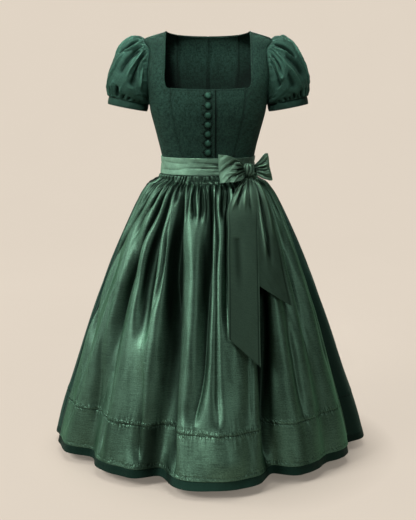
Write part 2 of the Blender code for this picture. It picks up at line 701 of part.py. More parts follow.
def bow_frame():
    """The knot's middle on the band, and the directions across, up and out there."""
    on_band = cover(np.array(KNOT_X), np.array(KNOT_Z))
    out = unit(np.array([on_band[0] * 0.35, on_band[1], 0.0]))
    across = np.array([-out[1], out[0], 0.0])
    return on_band + out * (0.004 + KNOT_DEPTH / 2), across, np.array([0.0, 0.0, 1.0]), out


# Each loop by its path from the knot and back: across, out and half its height.
LOOP_COLUMNS = ("across", "out", "half_height", "rise")
LOOP_RIGHT = [
    (0.0175, 0.0075, 0.0120, 0.000),
    (0.0320, 0.0150, 0.0230, 0.001),
    (0.0560, 0.0180, 0.0310, 0.002),
    (0.0780, 0.0120, 0.0345, 0.002),
    (0.0870, 0.0020, 0.0350, 0.002),
    (0.0790, -0.0045, 0.0340, 0.002),
    (0.0560, -0.0060, 0.0290, 0.001),
    (0.0320, -0.0050, 0.0200, 0.000),
    (0.0175, -0.0035, 0.0105, 0.000),
]
LOOP_LEFT = [
    (0.0175, 0.0075, 0.0120, 0.000),
    (0.0300, 0.0140, 0.0220, 0.001),
    (0.0480, 0.0160, 0.0310, 0.003),
    (0.0640, 0.0110, 0.0345, 0.004),
    (0.0720, 0.0020, 0.0350, 0.004),
    (0.0650, -0.0045, 0.0340, 0.004),
    (0.0480, -0.0055, 0.0290, 0.002),
    (0.0300, -0.0045, 0.0200, 0.000),
    (0.0175, -0.0035, 0.0105, 0.000),
]


def make_loop(name, rows, direction):
    """One loop of the bow: a ribbon that leaves the knot, turns and comes back."""
    middle, across, up, out = bow_frame()
    path = np.linspace(0, len(rows) - 1, 2 * len(rows) - 1)
    places = np.arange(len(rows))
    reach, depth, half, rise = (smooth(places, column(rows, k), path) for k in range(4))
    share = np.linspace(-1, 1, 5)
    lean = 0.0120 * (1 - share) ** 2 / 4
    outer = (middle + across * direction * reach[None, :, None]
             + out * (depth[None, :] + lean[:, None] * np.minimum(reach / 0.03, 1)[None])[..., None]
             + up * (rise[None, :] + share[:, None] * half[None, :])[..., None])
    along = np.gradient(outer, axis=1)
    side = unit(np.cross(along, up[None, None] + 0 * along)) * direction
    wall(name, outer, outer + side * RIBBON_WALL, "ribbon_satin")


def make_knot():
    """The knot: a soft block wrapped by the ribbon."""
    middle, across, up, out = bow_frame()
    sides, rings = 14, 7
    points, faces = [], []
    for ring in range(rings):
        level = -1 + 2 * ring / (rings - 1)
        bulge = (1 - abs(level) ** 3 * 0.45)
        for step in range(sides):
            angle = 2 * math.pi * step / sides
            spoke = (across * math.cos(angle) * KNOT_HALF_WIDTH * bulge
                     + out * math.sin(angle) * KNOT_DEPTH / 2 * bulge)
            points.append(middle + spoke + up * level * KNOT_HALF_HEIGHT)
    for ring in range(rings - 1):
        for step in range(sides):
            a, b = ring * sides + step, ring * sides + (step + 1) % sides
            faces.append((a, b, b + sides, a + sides))
    faces.append(tuple(range(sides)))
    faces.append(tuple(range((rings - 1) * sides, rings * sides)))
    finish_object("bow_knot", points, faces, "ribbon_satin")


def make_bow():
    """Knot, two loops and two hanging ends."""
    make_knot()
    make_loop("bow_loop_right", LOOP_RIGHT, -1)
    make_loop("bow_loop_left", LOOP_LEFT, 1)
    make_tail("bow_tail_front", FRONT_TAIL, FRONT_TAIL_CUT)
    make_tail("bow_tail_back", BACK_TAIL, BACK_TAIL_CUT)


# The dress --------------------------------------------------------------------------------------

def make_materials():
    """One finish for each cloth."""
    for name, (colour, roughness) in COLOURS.items():
        material = bpy.data.materials.new(name)
        material.use_nodes = True
        shader = material.node_tree.nodes["Principled BSDF"]
        shader.inputs["Base Color"].default_value = colour
        shader.inputs["Roughness"].default_value = roughness
        shader.inputs["Metallic"].default_value = 0.0


def main():
    """Clears the scene and makes every piece."""
    for obj in list(bpy.data.objects):
        bpy.data.objects.remove(obj)
    make_materials()
    make_bodice()
    for side, mirror in (("left", False), ("right", True)):
        make_sleeve(side, mirror)
        make_cuff(side, mirror)
    make_skirt()
    make_band()
    make_buttons()
    make_bow()


main()
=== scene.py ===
"""Looks of a dirndl dress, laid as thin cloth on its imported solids.

Metres, +Z up, the front faces -Y and +X is the wearer's left. A place on the dress is a pair
(turn, z): turn is the angle round the body in degrees, 0 at the front, 90 at the wearer's left.
"""

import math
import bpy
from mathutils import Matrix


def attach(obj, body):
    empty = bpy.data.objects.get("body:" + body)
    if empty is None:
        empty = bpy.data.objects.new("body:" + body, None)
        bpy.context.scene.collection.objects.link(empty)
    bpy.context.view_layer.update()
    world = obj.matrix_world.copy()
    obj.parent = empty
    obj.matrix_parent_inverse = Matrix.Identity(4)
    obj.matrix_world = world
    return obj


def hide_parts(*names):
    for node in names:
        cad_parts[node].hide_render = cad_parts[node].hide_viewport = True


bl_info = {
    "name": "Dirndl Dress",
    "version": (1, 0, 0),
    "blender": (4, 5, 0),
    "location": "View3D > Sidebar > Dirndl",
    "description": "Makes the cloth, buttons, stitching and studio of a dirndl dress on its solids",
    "category": "Add Mesh",
}

import bpy
import numpy as np
from bpy.props import FloatProperty, FloatVectorProperty, PointerProperty
from bpy.types import Operator, Panel, PropertyGroup

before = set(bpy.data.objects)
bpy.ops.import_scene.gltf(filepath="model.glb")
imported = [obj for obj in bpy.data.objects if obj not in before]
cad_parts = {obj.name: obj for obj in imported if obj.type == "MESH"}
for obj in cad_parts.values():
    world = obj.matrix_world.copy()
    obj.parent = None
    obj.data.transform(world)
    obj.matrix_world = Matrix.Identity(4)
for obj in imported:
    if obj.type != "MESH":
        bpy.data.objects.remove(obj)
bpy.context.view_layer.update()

# Heights and walls, shared with the solids.
HEM_Z = -1.100
WAIST_Z = -0.345
APRON_HEM_Z = -1.078
TUCK_Z = -0.973
BAND_TOP_Z = -0.322
BAND_BOTTOM_Z = -0.366
SEAM_GAP = 0.0003
BODICE_WALL = 0.0018
SKIRT_WALL = 0.0016
SLEEVE_WALL = 0.0015
RIBBON_WALL = 0.0014

# How far the thin cloth reaches past the solids' edges, and the stitches beside a seam or an edge.
EDGE_STRETCH = 0.0004
STITCH_INSET = 0.0042

# Bodice: level sections of its outer face.
TORSO = [  # z, half width, front depth, back depth
    (0.000, 0.108, 0.030, 0.060),
    (-0.018, 0.165, 0.052, 0.074),
    (-0.050, 0.176, 0.075, 0.090),
    (-0.090, 0.177, 0.098, 0.100),
    (-0.130, 0.168, 0.118, 0.105),
    (-0.165, 0.158, 0.128, 0.105),
    (-0.208, 0.151, 0.126, 0.101),
    (-0.250, 0.140, 0.115, 0.094),
    (-0.292, 0.129, 0.103, 0.088),
    (-0.345, 0.118, 0.094, 0.084),
]
TORSO_POWER = 2.3

# Skirt: level sections of its outermost cloth.
SKIRT = [  # z, half width, front depth, back depth, power, lobes
    (-0.3450, 0.1245, 0.1010, 0.0915, 2.3, 0.000),
    (-0.3660, 0.1275, 0.1035, 0.0940, 2.3, 0.000),
    (-0.3780, 0.1425, 0.1170, 0.1080, 2.3, 0.000),
    (-0.3900, 0.1525, 0.1270, 0.1180, 2.2, 0.000),
    (-0.4150, 0.1730, 0.1450, 0.1370, 2.1, 0.000),
    (-0.4420, 0.1880, 0.1590, 0.1520, 2.0, 0.000),
    (-0.5230, 0.2270, 0.1960, 0.1920, 2.0, 0.000),
    (-0.6330, 0.2730, 0.2410, 0.2390, 2.0, 0.006),
    (-0.7450, 0.3160, 0.2810, 0.2800, 2.0, 0.016),
    (-0.9150, 0.3740, 0.3370, 0.3360, 2.0, 0.030),
    (-1.0320, 0.4140, 0.3740, 0.3720, 2.0, 0.038),
    (-1.1000, 0.4310, 0.3960, 0.3920, 2.0, 0.042),
]

# Large folds: the valleys' turns under the band, at mid height and at the hem, their depths at
# mid height and at the hem, and their half-widths in degrees on either side.
FOLDS = [
    (-90, -86, -87, 0.011, 0.024, 5, 5),
    (-76, -70, -77, 0.012, 0.012, 5, 6),
    (-66, -52, -58, 0.024, 0.040, 7, 8),
    (-42, -35, -33, 0.018, 0.006, 5, 6),
    (-24, -17, -20, 0.030, 0.060, 6, 7),
    (-3, -1, -6, 0.017, 0.000, 5, 4),
    (8, 8, 6, 0.009, 0.000, 3, 4),
    (21, 17, 14, 0.012, 0.006, 4, 4),
    (38, 30, 27, 0.024, 0.052, 7, 5),
    (52, 45, 41, 0.014, 0.000, 5, 5),
    (66, 58, 53, 0.017, 0.012, 5, 5),
    (82, 78, 76, 0.018, 0.043, 7, 6),
    (101, 103, 104, 0.014, 0.026, 6, 7),
    (119, 121, 118, 0.017, 0.008, 6, 6),
    (136, 139, 137, 0.022, 0.048, 6, 7),
    (152, 154, 157, 0.013, 0.004, 5, 5),
    (170, 171, 168, 0.022, 0.044, 7, 6),
    (190, 189, 193, 0.014, 0.004, 5, 6),
    (207, 205, 207, 0.020, 0.050, 6, 7),
    (225, 224, 221, 0.013, 0.006, 6, 5),
    (240, 241, 243, 0.019, 0.038, 7, 6),
    (258, 257, 257, 0.012, 0.018, 5, 6),
]
FOLD_START_Z = -0.372
FOLD_MIDDLE_Z = -0.640
# The gathering line, from which skirt and apron spring out.
GATHER_Z = -0.386

# Armholes, sleeves and cuffs.
ARMHOLE_Z = -0.098
ARMHOLE_HALF_HEIGHT = 0.080
ARMHOLE_HALF_DEPTH = 0.056
CUFF_TILT = 11.0
CUFF_RADIUS = 0.0530
CUFF_HEIGHT = 0.020
CUFF_WALL = 0.0020
CUFF_CENTRE = np.array([0.2085, 0.0, -0.1765])

# Bodice seams by their distance from the centre at each height.
FRONT_SEAM = [(-0.345, 0.062), (-0.305, 0.070), (-0.250, 0.083), (-0.200, 0.092), (-0.144, 0.096)]
BACK_SEAM = [(-0.345, 0.052), (-0.250, 0.066), (-0.150, 0.078), (-0.060, 0.083), (-0.006, 0.080)]
NECK_EDGE = [
    (-0.1440, 0.0960), (-0.1436, 0.1000), (-0.1418, 0.1045), (-0.1380, 0.1075), (-0.1320, 0.1090),
    (-0.0900, 0.1095), (-0.0450, 0.1088), (-0.0150, 0.1080), (0.0000, 0.1080),
]
NECK_CENTRE_Z = -0.148
BACK_NECK_DROP = 0.010
SHOULDER_Z = -0.018

# Front closing.
LAP_EDGE = 0.017
UNDERLAP_EDGE = -0.012
LAP_RAMP = 0.045
LAP_CLEARANCE = 0.0006
BUTTONS = 7
BUTTON_TOP_Z = -0.163
BUTTON_BOTTOM_Z = -0.306
BUTTON_RADIUS = 0.0088
BUTTON_HEIGHT = 0.0062
BUTTON_LEVELS = [BUTTON_TOP_Z + (BUTTON_BOTTOM_Z - BUTTON_TOP_Z) * number / (BUTTONS - 1)
                 for number in range(BUTTONS)]

# Bow.
KNOT_X = 0.098
KNOT_Z = -0.352
KNOT_HALF_WIDTH = 0.0150
KNOT_HALF_HEIGHT = 0.0170
KNOT_DEPTH = 0.024

# The wearer's two sides; what is made for the left one is mirrored for the right one.
SIDES = (("left", False), ("right", True))

# Distances of the rows of points beside a panel's folded edge, and the radius by which they
# become degrees.
WAIST_RADIUS = 0.13
EDGE_STEPS = np.array([0.0, 0.0001, 0.00036, 0.0008])


# Numbers and curves -------------------------------------------------------------------------

def column(rows, index):
    """One column of a table, as an array."""
    return np.array([row[index] for row in rows], dtype=float)


def cubic(start, leave, end, arrive, t):
    """A cubic from start to end with the given slopes there, as t runs from 0 to 1."""
    return (start * (1 + 2 * t) * (1 - t) ** 2 + leave * t * (1 - t) ** 2
            + end * t * t * (3 - 2 * t) + arrive * t * t * (t - 1))


def smooth(places, values, at):
    """Cubic curve through (place, value) pairs, held level past both ends."""
    order = np.argsort(places)
    places, values = np.asarray(places, float)[order], np.asarray(values, float)[order]
    at = np.clip(np.asarray(at, float), places[0], places[-1])
    slopes = np.gradient(values, places)
    left = np.clip(np.searchsorted(places, at, side="right") - 1, 0, len(places) - 2)
    step = places[left + 1] - places[left]
    return cubic(values[left], slopes[left] * step, values[left + 1], slopes[left + 1] * step,
                 (at - places[left]) / step)


def lookup(table, index, at):
    """A column of a table, read as a smooth curve over the table's first column."""
    return smooth(column(table, 0), column(table, index), at)


def ease(value, start, end):
    """0 before start, 1 after end and an even S-curve between them."""
    t = np.clip((np.asarray(value, float) - start) / (end - start), 0, 1)
    return t * t * (3 - 2 * t)


def window(value, start, full, last, end):
    """0 before start, 1 from full to last and 0 again after end."""
    return ease(value, start, full) * (1 - ease(value, last, end))


def bell(distance, half, power=2):
    """1 where a distance is 0, and next to nothing past about twice the half-width."""
    return np.exp(-np.abs(distance / half) ** power)


def unit(vectors):
    """The same directions with length 1."""
    return vectors / np.maximum(np.linalg.norm(vectors, axis=-1, keepdims=True), 1e-12)


def uneven(value, seed):
    """A smooth wandering number between about -1 and 1, for places that no rule sets."""
    total = 0.0
    for step, (pace, weight) in enumerate(((1.0, 0.42), (1.93, 0.28), (3.17, 0.18), (5.41, 0.12))):
        total = total + weight * np.sin(pace * value + 2.4 * seed + 1.7 * step)
    return total


def pleats(phase, power, level):
    """Rounded pleats side by side, one to each whole number of the phase."""
    return np.abs(np.cos(math.pi * phase)) ** power - level


def apart(turn, other, period=360.0):
    """How far one turn lies past another, by the shorter way round."""
    return (turn - other + period / 2) % period - period / 2


def drawn_in(points, scale):
    """Points moved towards the body's upright axis."""
    return points * np.stack([scale, scale, 1 + 0 * scale], axis=-1)


def rounded(turn, z, rows, power):
    """Points of a surface given by level superellipse sections."""
    sine, cosine = np.sin(np.radians(turn)), np.cos(np.radians(turn))
    half, front, back = (lookup(rows, k, z) for k in (1, 2, 3))
    x = half * np.sign(sine) * np.abs(sine) ** (2 / power)
    y = np.where(cosine > 0, -front, back) * np.abs(cosine) ** (2 / power)
    return np.stack([x, y, z + 0 * x], axis=-1)


def normals(surface, turn, z):
    """Outward unit normals of a surface, from small steps round it and up it."""
    step_turn, step_z = 0.25, 0.0008
    around = surface(turn + step_turn, z) - surface(turn - step_turn, z)
    up = surface(turn, z + step_z) - surface(turn, z - step_z)
    return unit(np.cross(around, up))


def torso(turn, z):
    """Outer face of the bodice."""
    return rounded(turn, z, TORSO, TORSO_POWER)


def turn_at(x, z, back=False):
    """The turn at which the bodice is x from the centre at height z."""
    share = np.clip(np.abs(x) / lookup(TORSO, 1, z), 0, 1) ** (TORSO_POWER / 2)
    turn = np.degrees(np.arcsin(share))
    return np.sign(x) * (180 - turn if back else turn)


# Cloth meshes -------------------------------------------------------------------------------

def spaced(count, length, roll):
    """Distances along a line: some close to each end, for a folded edge, and even ones between."""
    near = np.array([0.0, 0.12, 0.45, 1.0]) * roll
    middle = np.linspace(roll, length - roll, count - 6)[1:-1]
    return np.concatenate([near, middle, length - near[::-1]])


def rolled(distance, roll):
    """How far a face drops towards the middle of its wall, this close to a folded edge."""
    reach = np.clip(distance / roll, 0, 1)
    return roll * (1 - np.sqrt(np.clip(1 - (1 - reach) ** 2, 0, 1)))


def lengths(points, axis):
    """Distances along a grid's lines from their start."""
    steps = np.linalg.norm(np.diff(points, axis=axis), axis=-1)
    pad = [(0, 0), (0, 0)]
    pad[axis] = (1, 0)
    return np.cumsum(np.pad(steps, pad), axis=axis)


def stitched_spaced(count, length, roll):
    """Spaced distances with more lines round a row of stitches beside each end."""
    near = np.array([0.0, 0.12 * roll, 0.45 * roll, roll, 0.0016, 0.0025, 0.0036, 0.0042, 0.0048, 0.0058])
    middle = np.linspace(near[-1], length - near[-1], count - 18)[1:-1]
    return np.concatenate([near, middle, length - near[::-1]])


def relaid(pairs, surface, rows, columns, roll):
    """The same patch of cloth with its points set out by real distance, close at its edges."""
    for axis, count in ((0, rows), (1, columns)):
        along = lengths(surface(pairs[..., 0], pairs[..., 1]), axis)
        lines = np.moveaxis(pairs, axis, 0)
        along = np.moveaxis(along, axis, 0)
        fresh = np.empty((count,) + lines.shape[1:])
        for line in range(lines.shape[1]):
            at = stitched_spaced(count, along[-1, line], roll)
            for part in (0, 1):
                fresh[:, line, part] = np.interp(at, along[:, line], lines[:, line, part])
        pairs = np.moveaxis(fresh, 0, axis)
    return pairs


def grid_normals(points, closed=False):
    """Unit normals of a grid of points, on the side that its rows and columns turn to."""
    if closed:
        around = np.roll(points, -1, axis=1) - np.roll(points, 1, axis=1)
    else:
        around = np.gradient(points, axis=1)
    return unit(np.cross(around, np.gradient(points, axis=0)))


def edge_drop(points, roll, closed=False):
    """The drop of a grid's face at all its folded edges."""
    down = lengths(points, 0)
    squares = rolled(down, roll) ** 2 + rolled(down[-1:] - down, roll) ** 2
    if not closed:
        across = lengths(points, 1)
        squares = squares + rolled(across, roll) ** 2 + rolled(across[:, -1:] - across, roll) ** 2
    return np.minimum(np.sqrt(squares), roll)


def facing(points, towards, closed=False):
    """A grid's unit normals, on the side that the given directions point to."""
    face = grid_normals(points, closed)
    return face * np.sign(np.sum(face * towards, axis=-1, keepdims=True))


def walls(points, face, wall, closed=False):
    """Outer and inner face of a cloth with its outer points, rounded off at its folded edges."""
    drop = edge_drop(points, wall / 2, closed)[..., None]
    return points - face * drop, points - face * (wall - drop)


def mark_shade(mesh, marks):
    """Stores at each point how far the light is kept off it, for the finish."""
    mesh.attributes.new("shade", "FLOAT", "POINT").data.foreach_set("value", marks.astype(np.float32))


def linked(data):
    """A new object in the scene with some data and its name."""
    obj = bpy.data.objects.new(data.name, data)
    bpy.context.scene.collection.objects.link(obj)
    return obj


def placed(mesh, material):
    """A new object with a smooth mesh of one material."""
    mesh.shade_smooth()
    mesh.materials.append(material)
    return linked(mesh)


def cloth_piece(name, outer, inner, material, shade, closed):
    """One sheet of cloth from its two faces, joined at its folded edges.

    shade (0 to 1) marks where folds and seams keep the light off, for the cloth's finish: one
    grid for both faces, or one for each.
    """
    rows, columns = outer.shape[:2]
    last = columns if closed else columns - 1
    outside = np.arange(rows * columns).reshape(rows, columns)
    inside = outside + rows * columns
    inside[[0, -1]] = outside[[0, -1]]
    if not closed:
        inside[:, [0, -1]] = outside[:, [0, -1]]
    row, col = np.meshgrid(np.arange(rows - 1), np.arange(last), indexing="ij")
    row, col = row.ravel(), col.ravel()
    corners = [(row, col), (row, col + 1), (row + 1, col + 1), (row + 1, col)]
    middle = (rows // 2, columns // 2)
    direct = outer[middle[0], middle[1] + 1] - outer[middle]
    downward = outer[middle[0] + 1, middle[1]] - outer[middle]
    faces_out = np.dot(np.cross(direct, downward), outer[middle] - inner[middle]) > 0
    order = [0, 1, 2, 3] if faces_out else [3, 2, 1, 0]

    spans = (lengths(outer, 1)[-1, -1], lengths(outer, 0)[-1, columns // 2])
    across = lengths(outer, 1)[-1]
    across = np.append(across, 2 * across[-1] - across[-2]) / across[-1] * spans[0]
    down = lengths(outer, 0).mean(axis=1)
    down = down / down[-1] * spans[1]

    faces, uvs = [], []
    for layer, turns in ((outside, order), (inside, order[::-1])):
        faces.append(np.stack([layer[corners[k][0], corners[k][1] % columns] for k in turns], axis=1))
        uvs.append(np.stack([np.stack([across[corners[k][1]], -down[corners[k][0]]], axis=1)
                             for k in turns], axis=1))
    faces = np.concatenate(faces)
    uvs = np.concatenate(uvs)
    points = np.concatenate([outer.reshape(-1, 3), inner.reshape(-1, 3)])
    used, compact = np.unique(faces, return_inverse=True)
    mesh = bpy.data.meshes.new(name)
    mesh.from_pydata(points[used].tolist(), [], compact.reshape(faces.shape).tolist())
    layer = mesh.uv_layers.new(name="cloth")
    layer.data.foreach_set("uv", uvs.reshape(-1).astype(np.float32))
    mark_shade(mesh, np.broadcast_to(shade, (2, rows, columns)).reshape(-1)[used])
    return placed(mesh, material)


def mirrored(grid):
    """The wearer's right-hand twin of a grid."""
    return (grid * np.array([-1.0, 1.0, 1.0]))[:, ::-1]


def settle(obj, slot, *nodes):
    """Hangs a finished piece on the dress, in place of its solids."""
    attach(obj, "root")
    if nodes:
        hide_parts(*nodes)


def hang_cloth(node, slot, material, faces, shade, closed=False, mirror=False):
    """One piece of cloth from its two faces, on the dress in place of its solid.
    """
    outer, inner = faces
    if mirror:
        outer, inner, shade = mirrored(outer), mirrored(inner), shade[..., ::-1]
    obj = cloth_piece(node + "_cloth", outer, inner, material, shade, closed)
    settle(obj, slot, node)


def deselect():
    """Nothing selected and object mode, before a modelling step."""
    if bpy.context.object is not None and bpy.context.object.mode != "OBJECT":
        bpy.ops.object.mode_set(mode="OBJECT")
    bpy.ops.object.select_all(action="DESELECT")


# Materials ----------------------------------------------------------------------------------

class Signal:
    """A node socket that can be used in an expression."""

    def __init__(self, maker, socket):
        self.maker = maker
        self.socket = socket

    def __add__(self, other):
        return self.maker.calculate("ADD", self, other)

    def __radd__(self, other):
        return self.maker.calculate("ADD", other, self)

    def __sub__(self, other):
        return self.maker.calculate("SUBTRACT", self, other)

    def __rsub__(self, other):
        return self.maker.calculate("SUBTRACT", other, self)

    def __mul__(self, other):
        return self.maker.calculate("MULTIPLY", self, other)

    def __rmul__(self, other):
        return self.maker.calculate("MULTIPLY", other, self)


class Finish:
    """A material and its nodes."""

    def __init__(self, name):
        self.material = bpy.data.materials.new(name)
        self.material.use_nodes = True
        self.tree = self.material.node_tree
        self.shader = self.tree.nodes["Principled BSDF"]

    def set_socket(self, socket, value):
        """Links a signal to a socket, or sets a plain value on it."""
        if isinstance(value, Signal):
            self.tree.links.new(value.socket, socket)
        else:
            socket.default_value = value

    def add(self, kind, settings=None, inputs=None, output=0):
        """A node of one kind with its settings and socket values, as a signal."""
        node = self.tree.nodes.new(kind)
        for key, value in (settings or {}).items():
            setattr(node, key, value)
        for key, value in (inputs or {}).items():
            self.set_socket(node.inputs[key], value)
        return Signal(self, node.outputs[output])

    def calculate(self, operation, *values):
        """A sum or a function of values and signals."""
        return self.add("ShaderNodeMath", {"operation": operation}, dict(enumerate(values)))

    def shade(self, **values):
        """Sets the shader's own sockets, by names with _ for a space."""
        for key, value in values.items():
            self.set_socket(self.shader.inputs[key.replace("_", " ").title().replace("Ior", "IOR")], value)

    def place(self):
        """The object's own coordinates."""
        return self.add("ShaderNodeTexCoord", None, None, 3)

    def mix(self, share, first, second):
        """Two colours mixed by a share."""
        return self.add("ShaderNodeMix", {"data_type": "RGBA"}, {0: share, 6: first, 7: second}, 2)

    def mottled(self, blend, start, end, colour, spread, hidden):
        """A colour, uneven after a blend of patches, and darkened by painted shade where folds and seams
        would keep light off.
        """
        tone = self.ramp(blend, [(start, 0.0), (end, 1.0)])
        colours = self.mix(tone, toned(colour, 1 - spread), toned(colour, 1 + spread))
        # painted shade: the stored shade mixes the colour towards near black
        mark = self.add("ShaderNodeAttribute", {"attribute_name": "shade"}, None, 2)
        return self.mix(mark * hidden, colours, toned(colour, 0.03))

    def stretched(self, across, along):
        """The cloth's own coordinates, in metres, scaled by threads or patches a metre."""
        place = self.add("ShaderNodeUVMap", {"uv_map": "cloth"})
        return self.add("ShaderNodeMapping", None, {"Vector": place, "Scale": (across, along, 1.0)})

    def noise(self, vector, detail=2.0, roughness=0.5):
        """Soft uneven patches from 0 to 1."""
        inputs = {"Vector": vector, "Scale": 1.0, "Detail": detail, "Roughness": roughness}
        return self.add("ShaderNodeTexNoise", {"noise_dimensions": "2D"}, inputs)

    def patches(self, across, along, detail=2.0, roughness=0.5):
        """Soft uneven patches over the cloth, so many a metre."""
        return self.noise(self.stretched(across, along), detail, roughness)

    def grain(self, scale, detail):
        """Soft uneven patches through the object."""
        inputs = {"Vector": self.place(), "Scale": scale, "Detail": detail}
        return self.add("ShaderNodeTexNoise", None, inputs)

    def weave(self, threads, wander):
        """Two sets of fine parallel threads that cross, so many a metre."""
        settings = {"wave_type": "BANDS", "bands_direction": "DIAGONAL", "wave_profile": "SIN"}
        inputs = {"Scale": 1.0, "Distortion": wander, "Detail": 1.0}
        first, second = (self.add("ShaderNodeTexWave", settings, {"Vector": vector, **inputs}, 1)
                         for vector in (self.stretched(threads, threads), self.stretched(threads, -threads)))
        return first + second

    def ramp(self, value, stops):
        """A value led through a ramp of (place, brightness) stops."""
        node = self.tree.nodes.new("ShaderNodeValToRGB")
        elements = node.color_ramp.elements
        while len(elements) < len(stops):
            elements.new(0.5)
        for element, (place, level) in zip(elements, stops):
            element.position = place
            element.color = (level, level, level, 1.0)
        self.tree.links.new(value.socket, node.inputs[0])
        return Signal(self, node.outputs[0])

    def bump(self, height, strength, distance):
        """The shader's normal, from a height signal."""
        inputs = {"Height": height, "Strength": strength, "Distance": distance}
        self.shade(normal=self.add("ShaderNodeBump", None, inputs))


def toned(colour, share):
    """A colour made lighter or darker by a share."""
    return tuple(min(1.0, part * share) for part in colour[:3]) + (1.0,)


def wool(name, colour, speckle):
    """Matte wool-like cloth: a fine plain weave of mottled yarn with a short nap."""
    finish = Finish(name)
    fibre = finish.patches(300, 260, 3.0, 0.65)
    fleck = finish.patches(150, 130, 2.0, 0.60)
    patch = finish.patches(45, 36, 3.0, 0.60)
    yarn = finish.patches(230, 1300, 1.0)
    blend = fibre * 0.30 + fleck * 0.38 + yarn * 0.14 + patch * 0.18
    finish.shade(base_color=finish.mottled(blend, 0.38, 0.62, colour, speckle, 0.85), roughness=0.92,
                 metallic=0.0, specular_ior_level=0.05, sheen_weight=0.16, sheen_roughness=0.45,
                 sheen_tint=toned(colour, 9.0))
    finish.bump(finish.weave(900, 1.5) * 0.25 + fibre * 0.35 + fleck * 0.40, 0.60, 0.0006)
    return finish.material


def stitched_puckers(finish, lines):
    """Short slanting creases across level lines of stitches, given as (height, reach, size)."""
    parts = finish.add("ShaderNodeSeparateXYZ", None, {0: finish.place()})
    x, y, z = (Signal(finish, node) for node in parts.socket.node.outputs)
    turn = finish.calculate("ARCTAN2", x, y * -1.0)
    patchy = finish.noise(finish.add("ShaderNodeCombineXYZ", None, {0: turn * 16.0, 1: z * 30.0}), 2.0, 0.6)
    total = 0.0
    for height, reach, size in lines:
        away = z - height
        wave = finish.calculate("SINE", turn * 300.0 + patchy * 26.0 + away * 320.0)
        distance = finish.calculate("ABSOLUTE", away) * (1.0 / reach)
        near = finish.calculate("EXPONENT", distance * distance * -1.0)
        total = wave * near * patchy * size + total
    return total


def satin(name, colour, roughness, slub, metallic, creases, stitches=(), hidden=0.93):
    """Shiny cloth: fine cross threads with longer, slightly thicker ones, and a coloured gleam."""
    finish = Finish(name)
    thread = finish.patches(60, 1100, 2.0, 0.6)
    streak = finish.patches(24, 380, 3.0, 0.6)
    grain = finish.patches(230, 330, 3.0, 0.65)
    patch = finish.patches(16, 11, 2.0, 0.5)
    blend = thread * 0.22 + streak * 0.24 + grain * 0.36 + patch * 0.18
    dull = finish.ramp(streak * 0.5 + patch * 0.5, [(0.3, roughness - 0.05), (0.7, roughness + 0.05)])
    finish.shade(base_color=finish.mottled(blend, 0.36, 0.64, colour, slub, hidden), roughness=dull,
                 metallic=metallic, specular_ior_level=0.05, specular_tint=toned(colour, 6.0))
    height = thread * 0.35 + grain * 0.25 + streak * 0.40
    if creases:
        height = height + finish.patches(40, 95, 3.0, 0.6) * creases
    if stitches:
        height = height + stitched_puckers(finish, stitches)
    finish.bump(height, 0.50, 0.0004)
    return finish.material


def plain_cloth(name, colour, roughness, speckle, sheen, metallic=0.0, hidden=0.9):
    """Plain-woven cotton-like cloth with a low sheen."""
    finish = Finish(name)
    grain = finish.patches(700, 620, 3.0, 0.6)
    yarn = finish.patches(90, 1500, 2.0)
    patch = finish.patches(18, 14, 2.0, 0.5)
    blend = grain * 0.45 + yarn * 0.35 + patch * 0.20
    finish.shade(base_color=finish.mottled(blend, 0.33, 0.67, colour, speckle, hidden), roughness=roughness,
                 metallic=metallic, specular_ior_level=0.08, specular_tint=toned(colour, 6.0),
                 sheen_weight=sheen, sheen_roughness=0.4, sheen_tint=toned(colour, 6.0))
    finish.bump(finish.weave(800, 1.0) * 0.4 + grain * 0.6, 0.45, 0.0003)
    return finish.material


def thread_finish(name, colour):
    """Twisted sewing thread, slightly shinier than the cloth around it."""
    finish = Finish(name)
    twist = finish.grain(900.0, 2.0)
    finish.shade(base_color=finish.mix(twist, toned(colour, 0.75), toned(colour, 1.25)), roughness=0.8,
                 metallic=0.0, specular_ior_level=0.05)
    finish.bump(twist, 0.4, 0.0002)
    return finish.material


# Bodice -------------------------------------------------------------------------------------

def path_points(path, count, crowd=1.0):
    """A path of (turn, z) points read at places along its length."""
    path = np.array(path, dtype=float)
    steps = np.linalg.norm(np.diff(torso(path[:, 0], path[:, 1]), axis=0), axis=1)
    along = np.concatenate([[0], np.cumsum(steps)])
    at = along[-1] * np.linspace(0, 1, count + 1) ** crowd
    return np.stack([np.interp(at, along, path[:, 0]), np.interp(at, along, path[:, 1])], axis=1)


def seam_path(table, back=False, points=90):
    """A seam given by its distance from the centre at each height, as (turn, z) points."""
    heights = np.linspace(table[0][0], table[-1][0], points)
    x = lookup(table, 1, heights)
    return np.stack([turn_at(x, heights, back), heights], axis=1)


def neck_path(points=160):
    """Front neck edge from the front seam's top to the shoulder point."""
    z = NECK_EDGE[0][0] * (1 - np.linspace(0, 1, points) ** 2)
    x = lookup(NECK_EDGE, 1, z)
    return np.stack([turn_at(x, z), z], axis=1)


def back_neck_path(start_turn, end_turn, points=40):
    """Back neck edge between two turns: a shallow curve, lowest at the centre."""
    turns = np.linspace(start_turn, end_turn, points)
    drops = np.sin(np.radians(turns - 90)) ** 2
    return np.stack([turns, -BACK_NECK_DROP * drops], axis=1)


def armhole_half(parts, back=False):
    """Half of the armhole's edge from underarm to shoulder, as (turn, z) points."""
    angle = np.linspace(math.pi, 0, parts + 1)
    z = ARMHOLE_Z + ARMHOLE_HALF_HEIGHT * np.cos(angle)
    y = ARMHOLE_HALF_DEPTH * np.sin(angle)
    depth = lookup(TORSO, 3 if back else 2, z)
    turn = np.degrees(np.arccos(np.clip(y / depth, 0, 1) ** (TORSO_POWER / 2)))
    turn[0] = turn[-1] = 90
    return np.stack([180 - turn if back else turn, z], axis=1)


